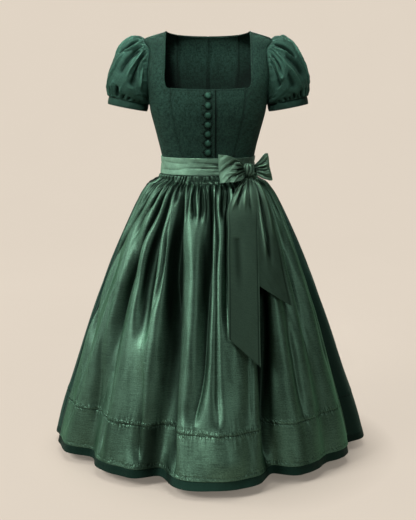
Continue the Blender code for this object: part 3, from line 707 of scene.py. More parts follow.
def patch(bottom, top, start, end):
    """(turn, z) pairs that fill the space between four edges with shared corners."""
    across = np.linspace(0, 1, len(bottom))[None, :, None]
    up = np.linspace(0, 1, len(start))[:, None, None]
    ruled_up = bottom[None] * (1 - up) + top[None] * up
    ruled_across = start[:, None] * (1 - across) + end[:, None] * across
    corners = ((bottom[0] * (1 - across) + bottom[-1] * across) * (1 - up)
               + (top[0] * (1 - across) + top[-1] * across) * up)
    return ruled_up + ruled_across - corners


def waist_path(start_turn, end_turn, count):
    """The bodice's lower edge between two turns."""
    turns = np.linspace(start_turn, end_turn, count + 1)
    return np.stack([turns, np.full(count + 1, WAIST_Z)], axis=1)


def lap_lift(points):
    """How far the upper front stands off where it laps over the lower one."""
    return (BODICE_WALL + LAP_CLEARANCE) * ease(-points[..., 0], -LAP_RAMP, 2 * UNDERLAP_EDGE)


def bodice_wrinkles(turn, z):
    """Shallow pulls: across the bust, out from each button and up from the waist."""
    x = np.abs(torso(turn, z)[..., 0])
    pull = 0.0
    for number, level in enumerate(BUTTON_LEVELS):
        slant = 0.06 * x * (1 if number % 2 else -1)
        pull = pull + bell(z - level - slant, 0.0042) * bell(x, 0.030 + 0.006 * (number % 3))
    waist = bell(z + 0.330, 0.020) * uneven(turn * 0.21, 2)
    strap = bell(z + 0.055, 0.040) * uneven(turn * 0.9, 5) * ease(np.abs(turn), 30, 60)
    broad = uneven(turn * 0.06 + z * 22, 1) * 0.5 + uneven(turn * 0.05 - z * 31, 4) * 0.5
    return -0.00045 * pull + 0.00055 * waist + 0.00040 * strap + 0.00055 * broad


def button_shadow(points):
    """How far the buttons keep the light off the cloth round them, a little below each."""
    nearest = np.min([np.hypot(points[..., 0] - 0.0010, points[..., 2] - level + 0.0012)
                      for level in BUTTON_LEVELS], axis=0)
    return 0.75 * (1 - ease(nearest, 0.0085, 0.0135))


def bodice_piece(name, pairs, rows, columns, material, free, mirror=False, lapped=False):
    """A bodice piece from its (turn, z) pairs.

    free names the edge that ends in the open from a height up: (edge, height), the edge being
    "start", "end" or "top". The lapped piece stands clear of the one beneath it.
    """
    roll = BODICE_WALL / 2
    pairs = relaid(pairs, torso, rows, columns, roll)
    turn, z = pairs[..., 0], pairs[..., 1]
    points = torso(turn, z)
    for line, next_line in ((0, 1), (-1, -2)):
        points[line] += unit(points[line] - points[next_line]) * EDGE_STRETCH
        points[:, line] += unit(points[:, line] - points[:, next_line]) * EDGE_STRETCH
    across = normals(torso, turn, np.minimum(z, -0.001))
    up, over = lengths(points, 0), lengths(points, 1)
    edges = {"start": over, "end": over[:, -1:] - over, "foot": up, "top": up[-1:] - up}
    seam = np.full(turn.shape, 1.0)
    hem = np.full(turn.shape, 1.0)
    for key, distance in edges.items():
        open_here = (key == free[0]) & (z > free[1]) | (key == "start") & lapped
        seam = np.minimum(seam, np.where(open_here, 1.0, distance))
        hem = np.minimum(hem, np.where(open_here, distance, 1.0))
    edge = np.minimum(seam, hem)

    lifted = lap_lift(points) if lapped else 0.0
    rise = (bodice_wrinkles(-turn if mirror else turn, z) + lifted) * ease(edge, 0, 0.006)
    rise = rise - 0.0013 * bell(seam, 0.0026) - 0.0005 * bell(edge - STITCH_INSET, 0.0007)
    rise = rise + 0.0013 * bell(hem - 0.0018, 0.0017)
    if lapped:
        rise = np.maximum(rise, lifted - 0.0003) + 0.0016 * bell(over, 0.0034)
    inner_rise = np.minimum(rise, lifted) if lapped else rise
    drop = edge_drop(points, roll)
    outer = points + across * (rise - drop)[..., None]
    inner = points + across * (inner_rise + drop - BODICE_WALL)[..., None]

    x = points[..., 0]
    # painted shade in the seams' grooves and along the stitches beside the edges
    shade = 0.95 * bell(seam, 0.0016) + 0.4 * bell(edge - STITCH_INSET - 0.0004, 0.0008)
    if name == "bodice_front_left":
        # the upper front's shadow
        shade = shade + bell(x - LAP_EDGE - 0.0014, 0.0031, 4)
    # painted shade on the inner face: darker lower down inside the neck and towards the sides
    within = 0.80 * ease(-z, 0.040, 0.150) + 0.60 * ease(np.abs(x), 0.055, 0.125)
    # painted shade on the outer face: darker down the middle of the front and on the straps, where less
    # light falls
    beside = 0.20 * bell(x, 0.075, 4) + 0.10 * ease(z, -0.100, -0.060)
    if lapped:
        beside = beside + button_shadow(points)
    shade = np.clip(np.stack([shade + beside, shade + within]), 0, 1)
    hang_cloth(name, "bodice_wool", material, (outer, inner), shade, mirror=mirror)


def front_pairs(edge_x, columns=40):
    """Left front piece between its centre edge and its long seam."""
    seam = path_points(seam_path(FRONT_SEAM), 60)
    z = np.linspace(WAIST_Z, NECK_CENTRE_Z, len(seam))
    centre = np.stack([turn_at(np.full(len(z), edge_x), z), z], axis=1)
    share = np.linspace(0, 1, columns + 1)
    turns = centre[-1, 0] + (seam[-1, 0] - centre[-1, 0]) * share
    level = NECK_CENTRE_Z + (seam[-1, 1] - NECK_CENTRE_Z) * share ** 2
    bottom = waist_path(centre[0, 0], seam[0, 0], columns)
    return patch(bottom, np.stack([turns, level], axis=1), centre, seam)


def bodice_patches():
    """(turn, z) pairs of the side front, side back and back pieces of the wearer's left."""
    lower, arm = 35, 60
    parts = lower + arm
    front_seam = path_points(seam_path(FRONT_SEAM), 40)
    neck = path_points(neck_path(), parts - 40, crowd=1.7)
    inner_edge = np.concatenate([front_seam, neck[1:]])
    side_z = np.linspace(WAIST_Z, ARMHOLE_Z - ARMHOLE_HALF_HEIGHT, lower + 1)
    side_seam = np.stack([np.full(lower + 1, 90.0), side_z], axis=1)
    outer_edge = np.concatenate([side_seam, armhole_half(arm)[1:]])
    shoulder = np.stack([np.full(25, 90.0), np.linspace(0, SHOULDER_Z, 25)], axis=1)
    side_front = patch(waist_path(front_seam[0, 0], 90, 24), shoulder, inner_edge, outer_edge)

    back_parts = 60
    back_seam = path_points(seam_path(BACK_SEAM, back=True), back_parts)
    seam_turn = back_seam[-1, 0]
    back_seam[-1, 1] = back_neck_path(seam_turn, seam_turn, 1)[0, 1]
    centre_z = np.linspace(WAIST_Z, -BACK_NECK_DROP, back_parts + 1)
    centre = np.stack([np.full(back_parts + 1, 180.0), centre_z], axis=1)
    back_bottom = waist_path(back_seam[0, 0], 180, 24)
    back = patch(back_bottom, back_neck_path(seam_turn, 180, 25), back_seam, centre)

    back_neck = path_points(back_neck_path(seam_turn, 90), parts - back_parts)
    inner_back = np.concatenate([back_seam, back_neck[1:]])
    outer_back = np.concatenate([side_seam, armhole_half(arm, back=True)[1:]])
    side_back = patch(waist_path(back_seam[0, 0], 90, 24), shoulder, inner_back, outer_back)
    return side_front, side_back[:, ::-1], back


def make_bodice(looks):
    """The eight cut pieces of the bodice."""
    material = wool("wool_weave", looks.bodice_colour, looks.wool_speckle)
    side_front, side_back, back = bodice_patches()
    neck = ("top", -1)
    bodice_piece("bodice_front_left", front_pairs(UNDERLAP_EDGE), 80, 54, material, neck)
    bodice_piece("bodice_front_right", front_pairs(-LAP_EDGE), 80, 60, material, neck, True, True)
    for side, mirror in SIDES:
        bodice_piece("bodice_side_front_" + side, side_front, 116, 54, material, ("start", -0.1436),
                     mirror)
        bodice_piece("bodice_side_back_" + side, side_back, 116, 54, material, ("end", -0.0070),
                     mirror)
        bodice_piece("bodice_back_" + side, back, 84, 48, material, neck,
                     mirror)


def hollow_depth(turn, z, scale, hollows, opening=None, period=360.0):
    """The depth that placed hollows add; scale turns a difference in turn into metres."""
    total = 0 * turn + 0 * z
    for places, lean, sharp, closing in hollows:
        down, turns, widths, depths = (column(places, k) for k in range(4))
        heights = down / -1000
        away = apart(turn, smooth(heights, turns, z), period) * scale
        width = smooth(heights, widths, z) / 1000
        first, last = -heights[0], -heights[-1]
        begin = opening or (0.006 if first < 0.4 else 0.080)
        shown = window(-z, first - 0.001, first + begin, last - closing, last + 0.2 * closing)
        span = np.where(away < 0, width * lean, width / lean)
        total = total + smooth(heights, depths, z) / 1000 * shown * bell(away, span, sharp)
    return total


# Sleeves ------------------------------------------------------------------------------------

def cuff_frame():
    """The cuff's outward direction and its axis, which runs down the arm."""
    tilt = math.radians(CUFF_TILT)
    return (np.array([math.cos(tilt), 0, math.sin(tilt)]), np.array([math.sin(tilt), 0, -math.cos(tilt)]))


def cuff_spokes(angle):
    """Directions square to the cuff's axis, at angles from its outward one."""
    return np.cos(angle)[:, None] * cuff_frame()[0] + np.sin(angle)[:, None] * np.array([0.0, -1.0, 0.0])


def cuff_stitches(share, half):
    """The two rows of stitches round a cuff, near its edges."""
    return bell(share - 0.13, half) + bell(share - 0.87, half)


def sleeve_points(loop_share, along):
    """Sleeve surface: each lengthwise curve leaves the armhole outwards and closes on the cuff."""
    front, back = armhole_half(60)[::-1], armhole_half(60, back=True)
    pairs = np.concatenate([front, back[1:-1]])
    loop = torso(pairs[:, 0], pairs[:, 1]) + normals(torso, pairs[:, 0], pairs[:, 1]) * SEAM_GAP
    places = loop_share * len(loop)
    low = np.floor(places).astype(int) % len(loop)
    part = (places - np.floor(places))[:, None]
    start = loop[low] * (1 - part) + loop[(low + 1) % len(loop)] * part
    angle = 2 * math.pi * loop_share
    cap = (1 + np.cos(angle)) / 2
    axis = cuff_frame()[1]
    radial = cuff_spokes(angle)
    end = CUFF_CENTRE + radial * (CUFF_RADIUS - CUFF_WALL / 2)
    leave = np.stack([0.86 + 0 * angle, -0.58 * np.sin(angle), 0.50 * np.cos(angle)], axis=1)
    leave_length = (0.020 + 0.105 * np.sin(angle) ** 2 + 0.172 * cap ** 2)[:, None]
    arrive = axis * 0.80 - radial * 0.62
    arrive_length = (0.012 + 0.085 * np.sin(angle) ** 2 + 0.120 * cap ** 2)[:, None]
    return cubic(start, leave * leave_length, end, arrive * arrive_length, along[:, None, None])


# Hollows of the puff sleeves. Places are (thousandths of the length, turn round the armhole,
# half-width, depth), sizes in millimetres and a ridge's depth below 0; a turn is 0 at the shoulder
# and 90 at the front. Then come lean, sharpness and closing, as for the apron.
RIGHT_SLEEVE = [
    ([(50, 12, 2.6, -2), (150, 17, 2.8, -3), (300, 18, 3, -4), (520, 15, 3.5, -3)], 1, 1.4, 0.15),
    ([(50, 26, 2, 5), (120, 31, 3.2, 10), (230, 35, 4.4, 14), (330, 33, 4.2, 12), (440, 27, 3.2, 7)],
     1, 1.7, 0.04),
    ([(40, 33, 1.6, -3), (120, 41, 2.2, -4), (200, 45, 2.4, -5), (280, 45, 2.6, -5), (370, 37, 2.6, -4)],
     1, 1.3, 0.05),
    ([(360, 41, 2.2, -3), (450, 42, 2.2, -5), (560, 41, 2.4, -5), (680, 36, 2.4, -4), (900, 22, 2.4, -3)],
     1.3, 1.2, 0.06),
    ([(40, 42, 1.4, 4), (100, 47, 1.6, 6), (200, 51, 2.4, 7), (280, 53, 3, 6)], 1, 1.6, 0.05),
    ([(40, 47, 1.4, -3), (80, 49, 1.6, -4), (130, 54, 1.8, -3)], 1, 1.4, 0.04),
    ([(120, 56, 4, 5), (200, 57, 6, 9), (340, 58, 9, 11), (500, 59, 10, 8), (640, 58, 10, 4)],
     1.2, 1.7, 0.1),
    ([(50, 52, 1.8, -4), (100, 57, 2.2, -5), (200, 69, 2.8, -6), (300, 75, 3.2, -5), (400, 78, 3.6, -4),
      (540, 80, 4, -3)], 0.8, 1.3, 0.08),
    ([(30, 58, 1.4, 4), (80, 66, 2.6, 6), (130, 73, 4, 8), (220, 85, 6.5, 9), (340, 93, 9, 9),
      (500, 95, 10, 7), (660, 93, 10, 4)], 0.8, 1.6, 0.1),
    ([(30, 66, 1.4, -3), (90, 74, 1.8, -3)], 1, 1.5, 0.04),
    ([(30, 72, 1.4, 4), (90, 80, 1.8, 4)], 1, 1.5, 0.04),
    ([(60, 86, 4, -3), (200, 107, 7, -4), (360, 116, 7, -3)], 1, 1.8, 0.1),
    ([(800, 20, 2, 3), (900, 20, 2.2, 5), (980, 20, 1.8, 4)], 1, 1.7, 0.03),
    ([(810, 34, 2, 4), (900, 34, 3.2, 8), (980, 33, 2.4, 6)], 1, 1.8, 0.02),
    ([(720, 47, 2, -3), (850, 46, 2, -4), (980, 46, 1.6, -3)], 1, 1.4, 0.03),
    ([(760, 59, 4.5, 6), (850, 60, 6.5, 11), (930, 60, 6, 10), (980, 59, 3, 7)], 1, 2.1, 0.02),
    ([(760, 70, 2, -3), (880, 72, 2.2, -5), (980, 75, 1.8, -3)], 1, 1.4, 0.03),
    ([(900, 69, 1.6, 4), (980, 69, 1.8, 6)], 1, 1.7, 0.02),
    ([(860, 82, 2.4, 5), (920, 80, 3, 7), (980, 79, 2, 6)], 1, 1.8, 0.02),
    ([(880, 97, 3.6, 6), (940, 94, 3.6, 7), (980, 92, 2.2, 5)], 1, 1.8, 0.02),
    ([(900, 110, 2.4, 5), (980, 107, 2.2, 5)], 1, 1.8, 0.02),
    ([(880, 126, 3, 5), (980, 122, 2.4, 5)], 1, 1.8, 0.02),
]
LEFT_SLEEVE = [
    ([(120, 6, 2.4, -3), (330, 20, 2.6, -4), (450, 27, 2.4, -5), (560, 26, 2.4, -5), (700, 25, 2.4, -4),
      (860, 22, 2.4, -3)], 1.2, 1.3, 0.1),
    ([(40, 36, 1.8, 6), (100, 41, 2.8, 10), (220, 43, 4.2, 14), (330, 42, 4.4, 13), (440, 39, 3.4, 8)],
     1, 1.7, 0.03),
    ([(100, 51, 2, -4), (190, 54, 2.6, -5), (300, 51, 3, -5), (430, 44, 3, -4)], 1, 1.4, 0.05),
    ([(200, 58, 2.6, -3), (320, 68, 2.8, -4), (570, 65, 3, -4), (840, 52, 2.8, -3)], 0.8, 1.3, 0.08),
    ([(300, 58, 8, 5), (500, 50, 11, 7), (720, 42, 10, 5)], 1.2, 1.8, 0.12),
    ([(40, 47, 1.4, 4), (100, 50, 1.6, 6), (150, 57, 2, 6)], 1, 1.6, 0.05),
    ([(40, 50, 1.6, -4), (100, 54, 1.8, -5), (180, 62, 2.2, -5), (280, 68, 2.6, -4), (400, 79, 3, -3)],
     1, 1.3, 0.06),
    ([(40, 58, 1.6, 5), (100, 67, 2.2, 8), (200, 78, 2.8, 9), (300, 86, 3.4, 7)], 0.9, 1.5, 0.06),
    ([(40, 66, 1.8, -4), (120, 74, 3, -5), (260, 90, 4.5, -5), (450, 94, 6, -4)], 0.8, 1.5, 0.08),
    ([(40, 78, 1.8, 4), (140, 92, 3, 6), (300, 104, 5, 7), (500, 106, 7, 5)], 1, 1.7, 0.1),
    ([(450, 78, 8, 4), (620, 76, 9, 6), (800, 72, 8, 5)], 1, 1.8, 0.1),
    ([(800, 24, 2.2, 4), (900, 23, 2.8, 7), (980, 22, 2, 5)], 1, 1.8, 0.02),
    ([(820, 38, 2.2, 5), (910, 38, 3.4, 8), (980, 38, 2.2, 6)], 1, 1.8, 0.02),
    ([(800, 47, 2, -3), (980, 47, 1.8, -3)], 1, 1.4, 0.03),
    ([(840, 55, 2.6, 6), (920, 54, 3, 8), (980, 53, 2, 6)], 1, 1.8, 0.02),
    ([(880, 66, 2, 4), (980, 64, 1.8, 5)], 1, 1.8, 0.02),
    ([(840, 77, 2.6, 5), (920, 75, 3.2, 7), (980, 74, 2.2, 6)], 1, 1.8, 0.02),
    ([(890, 88, 2.4, 5), (980, 86, 2, 5)], 1, 1.8, 0.02),
    ([(880, 101, 3, 6), (980, 98, 2.2, 5)], 1, 1.8, 0.02),
    ([(880, 118, 3, 5), (980, 115, 2.4, 5)], 1, 1.8, 0.02),
]


def behind(hollows):
    """The like of a sleeve's hollows on its hidden side."""
    return [([(down, 360 - 1.06 * turn, width, depth) for down, turn, width, depth in places],
             1 / lean, sharp, closing) for places, lean, sharp, closing in hollows]


def sleeve_gathers(share, along, seed):
    """Small pleats at both ends of a sleeve."""
    cap = (1 + np.cos(2 * math.pi * share)) / 2
    phase = 30 * share + 0.5 * uneven(18 * share * math.pi, seed)
    at_cap = pleats(phase, 0.7, 0.62) * (0.2 + 0.8 * cap) * bell(along - 0.04, 0.055)
    phase = 31 * share + 0.5 * uneven(16 * share * math.pi, seed + 3)
    reach = 0.050 + 0.030 * uneven(13 * share * math.pi, seed + 4)
    at_cuff = pleats(phase, 0.6, 0.60) * bell(1 - along, reach)
    return 0.0026 * at_cap + 0.0036 * at_cuff


def sleeve_relief(share, along, seed):
    """Soft unevenness of a sleeve between its pleats."""
    broad = uneven(share * 19 + along * 5, seed + 6) * window(along, 0.1, 0.4, 0.7, 1.0)
    fine = uneven(share * 60 + along * 9, seed + 8) + uneven(share * 34 - along * 25, seed + 12)
    return 0.0012 * broad + 0.0007 * fine + 0.0030 * ease(along, 0.02, 0.2)


def make_sleeves(looks):
    """Both puff sleeves, gathered into the armhole and into the cuff, and their cuffs."""
    material = plain_cloth("sleeve_weave", looks.sleeve_colour, 0.60, 0.36, 0.06, 0.34)
    shown, hidden = np.linspace(0, 0.40, 140, endpoint=False), np.linspace(0.40, 1, 84, endpoint=False)
    share = np.concatenate([shown, hidden])
    along = np.concatenate([[0.0, 0.004, 0.012, 0.022], np.linspace(0.035, 0.965, 76),
                            [0.978, 0.988, 0.996, 1.0]])
    base = sleeve_points(share, along)
    share, along = share[None], along[:, None]
    base[0] -= unit(base[1] - base[0]) * 0.0020
    base[-1] += unit(base[-1] - base[-2]) * EDGE_STRETCH
    across = grid_normals(base, closed=True)
    across = across * np.sign(np.sum(across * (base - base.mean(axis=(0, 1))), axis=-1).mean())
    around = np.linalg.norm(np.roll(base, -1, axis=1) - base, axis=-1).sum(axis=1)[:, None]
    ends = ease(along, 0, 0.03) * ease(1 - along, 0, 0.03)
    for side, mirror in SIDES:
        seed = 3 if mirror else 0
        hollows = RIGHT_SLEEVE if mirror else LEFT_SLEEVE
        depth = hollow_depth(360 * share, -along, around / 360, hollows + behind(hollows), 0.04)
        gathers = sleeve_gathers(share, along, seed)
        relief = gathers + sleeve_relief(share, along, seed) - np.where(depth < 0, 1.6, 0.95) * depth
        points = base + across * (relief * ends)[..., None]
        # painted shade: the wearer's left sleeve darker than the right, dark in the hollows, between the
        # gathers and at both seams; painted highlights on the ridges and the gathers' tops
        shade = (0.32 if mirror else 0.52) + 0.64 * ease(depth, 0.0008, 0.0068)
        shade = shade - 0.36 * ease(-depth, 0.0004, 0.0024)
        shade = shade + 0.45 * ease(-gathers, 0.0001, 0.0013) - 0.12 * ease(gathers, 0.0001, 0.0009)
        shade = np.clip(shade + 0.5 * bell(along, 0.008) + 0.6 * bell(1 - along, 0.012), 0, 1)
        hang_cloth("sleeve_" + side, "sleeve_cloth", material, walls(points, across, SLEEVE_WALL, True),
                   shade, True, mirror)
        make_cuff(side, mirror, material)


def make_cuff(side, mirror, material):
    """The narrow band that ends a sleeve."""
    axis = cuff_frame()[1]
    angle = np.linspace(0, 2 * math.pi, 120, endpoint=False)
    radial = cuff_spokes(angle)
    roll = CUFF_WALL / 2
    down = SEAM_GAP + spaced(22, CUFF_HEIGHT - SEAM_GAP, roll)
    share = (down / CUFF_HEIGHT)[:, None]
    puff = 0.0006 * np.sin(math.pi * share) + 0.0005 * uneven(angle[None] * 5 + share * 2, 2)
    puff = puff - 0.0005 * cuff_stitches(share, 0.04)
    centre = CUFF_CENTRE + axis * down[:, None, None]
    drop = (rolled(down - down[0], roll) + rolled(down[-1] - down, roll))[:, None]
    outer = centre + radial * (CUFF_RADIUS + puff - drop)[..., None]
    inner = centre + radial * (CUFF_RADIUS + puff - CUFF_WALL + drop)[..., None]
    # painted shade: the whole cuff darkened, the wearer's left one more, and darker along both rows of
    # stitches
    shade = (0.60 if mirror else 0.78) + 0.3 * cuff_stitches(share, 0.03)
    hang_cloth("cuff_" + side, "sleeve_cloth", material, (outer, inner), shade,
               True, mirror)


# Skirt and apron ----------------------------------------------------------------------------

def fold_depth(turn, z):
    """How deep the large folds cut in below the ridges."""
    past_start = ease(-z, -FOLD_START_Z, -FOLD_MIDDLE_Z)
    past_middle = np.clip((z - FOLD_MIDDLE_Z) / (HEM_Z - FOLD_MIDDLE_Z), 0, 1)
    depth = 0 * turn + 0 * z
    for waist, middle, hem, middle_depth, hem_depth, before, after in FOLDS:
        upper = waist + (middle - waist) * past_start
        place = upper + (hem - middle) * past_middle
        away = apart(turn, place)
        width = np.where(away < 0, before, after)
        deep = middle_depth * past_start + (hem_depth - middle_depth) * past_middle
        depth = depth + deep * bell(away, width)
    return depth


def skirt_ridges(turn, z):
    """The skirt's outermost cloth: smooth sections, slightly four-sided towards the hem."""
    points = rounded(turn, z, SKIRT, lookup(SKIRT, 4, z))
    return drawn_in(points, 1 - lookup(SKIRT, 5, z) * (1 - np.cos(np.radians(4 * turn))))


def skirt(turn, z):
    """The skirt's outer face with its large folds."""
    points = skirt_ridges(turn, z)
    return drawn_in(points, 1 - fold_depth(turn, z) / np.hypot(points[..., 0], points[..., 1]))


# Hollows of the gathered front, from the gathering line down. Places are (millimetres below the
# shoulders, turn, half-width, depth), sizes in millimetres. Then come lean (above 1 the hollow is
# gentle towards the wearer's right and steep towards the left), sharpness (2 is soft, 1 a cut) and
# the length that closes it, in metres.
FRONT_HOLLOWS = [
    # the long ones that run on into the large folds
    ([(386, -54.6, 3.5, 8), (424, -58.9, 4.5, 12), (466, -66, 5.5, 13), (515, -72, 6.5, 13),
      (600, -78, 8, 15), (731, -77, 9, 17), (830, -71, 9, 17), (934, -69, 9, 15), (1049, -72, 8, 12)],
     1.4, 1.3, 0.06),
    ([(386, -36.6, 3.5, 8), (412, -38.8, 4, 12), (438, -41.4, 5, 16), (473, -43.8, 6, 19),
      (520, -47.5, 7.5, 22), (570, -50.5, 9, 25), (640, -53, 10, 26), (741, -52.5, 10, 25),
      (835, -50, 9, 22), (929, -46.5, 8, 19), (1073, -46, 7, 14)], 1.6, 1.25, 0.06),
    ([(386, -30.6, 3, 7), (420, -32.6, 4.5, 12), (450, -34.5, 6.5, 16), (490, -36, 9, 20),
      (573, -37, 14, 22), (640, -37, 18, 22), (705, -35.5, 19, 18), (785, -33, 15, 9)], 1.1, 2.2, 0.055),
    ([(386, -20.1, 3.5, 8), (420, -19.9, 5, 13), (449, -20.4, 6, 17), (494, -20.2, 8, 23),
      (588, -18.6, 11, 30), (709, -16.8, 13, 32), (812, -15.5, 13, 32), (906, -14.7, 13, 29),
      (997, -13.3, 13, 27), (1078, -11.8, 12, 24)], 2, 1.3, 0.06),
    ([(860, 5, 22, -4), (960, 6, 30, -12), (1090, 6.5, 34, -21)], 1, 2, 0.06),
    ([(386, 2.5, 3.2, 9), (423, 3, 4.2, 15), (459, 3.3, 5, 19), (507, 1.9, 6, 23), (616, 0.2, 7.5, 25),
      (733, -1, 9, 23), (871, -2.6, 12, 19), (955, -5.5, 13, 14)], 1.7, 1.3, 0.025),
    ([(386, 6.7, 2.4, 6), (423, 6.2, 2.8, 9), (460, 6.8, 3, 9), (508, 6.9, 3.2, 9), (600, 5.4, 4, 9),
      (700, 4.6, 4.5, 9), (890, 3.8, 7, 10), (958, 3.6, 8, 8)], 1.2, 1.4, 0.025),
    ([(386, 18, 3.5, 8), (436, 16.2, 4.5, 12), (477, 13.9, 5, 14), (543, 11.5, 5.5, 15), (639, 10, 6, 14),
      (760, 8.9, 7, 10)], 1.3, 1.4, 0.1),
    ([(386, 34.5, 3.5, 8), (450, 35.5, 6, 14), (560, 34.5, 9, 22), (650, 32.7, 12, 30),
      (720, 31.5, 13, 32), (920, 27.9, 12, 30), (1085, 24.5, 9, 20)], 1.8, 1.3, 0.06),
    ([(386, 57, 3.5, 8), (440, 58, 4.5, 11), (520, 58, 5.5, 12), (640, 57, 7, 12), (860, 54, 9, 9)],
     1.3, 1.4, 0.12),
    ([(386, 67, 3.5, 8), (450, 69.5, 4.5, 11), (560, 70, 5.5, 12), (700, 69, 8, 10), (900, 66, 9, 8)],
     1.2, 1.4, 0.12),
    # short ones that end in a loop
    ([(386, -27.2, 3, 7), (406, -26.9, 3.6, 8), (425, -27.2, 3.6, 7), (442, -27.6, 3, 4)], 1, 2, 0.02),
    ([(386, -10.3, 3, 8), (424, -11.5, 4.6, 12), (452, -11, 5.4, 12), (482, -8.6, 4.6, 8)],
     1, 2.2, 0.022),
    ([(386, -5.9, 3, 8), (423, -4.6, 4.4, 11), (452, -4.6, 5, 11), (482, -6.4, 4.2, 8)], 1, 2.2, 0.022),
    ([(386, 12, 3.2, 8), (410, 12, 5, 11), (436, 11.7, 5.6, 12), (468, 11, 4.8, 11)], 1, 2.3, 0.012),
    # small ones between them
    ([(386, -73.5, 3.5, 5), (430, -77, 4, 5)], 1, 1.8, 0.03),
    ([(386, -67, 3.5, 7), (430, -72, 4.5, 9), (500, -78, 5, 9)], 1.2, 1.6, 0.06),
    ([(386, -60.5, 3, 6), (420, -64, 3.6, 7), (460, -70, 4, 6)], 1.1, 1.7, 0.04),
    ([(386, -49.4, 3, 6), (405, -50.4, 3.2, 6), (430, -53.5, 3.6, 6)], 1.1, 1.7, 0.025),
    ([(386, -44.8, 3.2, 8), (419, -47.3, 4, 12), (448, -51.5, 4.8, 13), (480, -57.2, 5.5, 12),
      (540, -62, 6.5, 10)], 1.2, 1.5, 0.06),
    ([(386, -40.8, 2.6, 5), (400, -42, 2.8, 5), (416, -43.6, 3, 5)], 1, 1.8, 0.016),
    ([(386, -23.6, 2.4, 5), (400, -23.7, 2.6, 5), (412, -24, 2.6, 4)], 1, 1.8, 0.014),
    ([(460, -29.2, 2.5, 5), (500, -29.4, 3.2, 8), (572, -28, 4, 9), (636, -28.6, 5, 9), (714, -31, 6, 7)],
     0.8, 1.4, 0.06),
    ([(386, -14.8, 2.8, 6), (414, -15.3, 3.2, 8), (444, -16.4, 3.4, 8), (490, -17, 3.4, 6)],
     1.1, 1.6, 0.04),
    ([(386, -2.5, 2.2, 5), (423, -0.9, 2.6, 6), (452, -1, 2.8, 6), (491, -2.2, 3, 4)], 1, 1.6, 0.03),
    ([(386, 23, 3.2, 7), (420, 22.4, 4, 9), (470, 21.5, 4.2, 7)], 1, 1.8, 0.03),
    ([(386, 28.5, 3.2, 7), (430, 28.5, 4.4, 10), (500, 28, 5, 9)], 1.2, 1.6, 0.04),
    ([(386, 40.5, 3.2, 7), (420, 41.5, 3.8, 8), (460, 42, 4, 6)], 1, 1.8, 0.03),
    ([(386, 46, 3.2, 7), (440, 47, 4.6, 11), (520, 46, 5.5, 12), (620, 45, 7, 9)], 1.3, 1.5, 0.08),
    ([(386, 51.5, 3, 6), (440, 51, 3.6, 8), (500, 49.5, 4, 6)], 1, 1.7, 0.05),
    ([(386, 62, 3, 6), (440, 63.5, 3.6, 7), (500, 64, 4, 6)], 1, 1.6, 0.05),
    ([(386, 73, 3.2, 6), (440, 75, 4, 7), (520, 76, 4.5, 6)], 1, 1.6, 0.06),
    # soft ones lower down
    ([(620, -62, 7, 5), (760, -62, 9, 7), (900, -59, 9, 7), (1040, -58, 9, 5)], 1.2, 1.8, 0.1),
    ([(800, -31, 10, 6), (900, -29.5, 12, 12), (1000, -27.5, 14, 17), (1070, -26.8, 14, 17)],
     1.6, 1.6, 0.05),
    ([(700, 19, 8, 5), (840, 18, 9, 7), (960, 16, 9, 7)], 1.2, 1.7, 0.08),
    ([(700, 44, 9, 6), (850, 43, 10, 8), (1000, 42, 10, 7)], 1.2, 1.7, 0.1),
]


# Lengths of the back's hollows, in metres: every third one is taken in turn, round and round.
RULE_LENGTHS = (0.045, 0.120, 0.060, 0.420, 0.075, 0.050, 0.200, 0.065)


def rule_hollows(start, end, step):
    """Hollows where no place shows: set out evenly, with uneven lengths, depths and drift."""
    top = -1000 * GATHER_Z
    rows = []
    for number in range(int(round((end - start) / step))):
        turn = start + step * (number + 0.5) + 0.9 * math.sin(2.3 * number)
        length = RULE_LENGTHS[(number * 3) % len(RULE_LENGTHS)]
        drift = 2.2 * math.sin(1.7 * number + 0.4)
        deep = 9 + 22 * length
        places = [(top, turn, 3.2, 8),
                  (top + 350 * length, turn + 0.4 * drift, 3.6 + 12 * length, deep),
                  (top + 700 * length, turn + 0.7 * drift, 4.2 + 18 * length, 0.62 * deep),
                  (top + 1250 * length, turn + 1.2 * drift, 5.0 + 26 * length, 0.22 * deep)]
        rows.append((places, 1.3, 1.9 - 1.3 * length, 0.45 * length + 0.006))
    return rows


# The gathered header, in metres below the shoulders: top and stitched line of both rows of puffs,
# then the degrees from puff to puff, and from gather to gather beside them.
HEADER_ROWS = ((0.3662, 0.3765), (0.3765, 0.3855))
PUFF_TURN = 4.1
GATHER_TURN = 4.6


def header_relief(turn, z, seed):
    """The stitched header: small slanting puffs above the line that gathers the cloth."""
    total = 0.0
    for row, (top, line) in enumerate(HEADER_ROWS):
        phase = turn / PUFF_TURN + 0.55 * uneven(turn * 0.40, seed + row) + 0.5 * row
        phase = phase + (z + (top + line) / 2) * (30 + 45 * uneven(turn * 0.33, seed + row + 2))
        size = 0.85 + 0.45 * uneven(turn * 1.1, seed + row + 5)
        shown = window(-z, top, top + 0.0025, line - 0.0030, line)
        total = total + 0.0038 * pleats(phase, 0.7, 0.60) * size * shown - 0.0014 * bell(z + line, 0.0014)
    side = np.abs(turn)
    total = total * (1 - ease(side, 14, 26))
    # beside the middle, straight gathers take the place of the puffs and spread as they fall
    beside = ease(side, 12, 24)
    started = turn / (1 + 1.7 * (np.clip(-z, 0.366, 0.44) - 0.372))
    fine = pleats(started / GATHER_TURN + 0.45 * uneven(started * 0.35, seed + 9), 1.7, 0.42)
    fine = fine * (0.80 + 0.35 * uneven(started * 0.9, seed + 11))
    total = total + 0.0062 * fine * window(-z, 0.3665, 0.3700, 0.382, 0.422) * beside
    total = total + 0.0052 * fine * window(-z, 0.3845, 0.3890, 0.400, 0.445) * (1 - beside)
    return total - 0.0008 * bell(z + 0.3668, 0.0010)


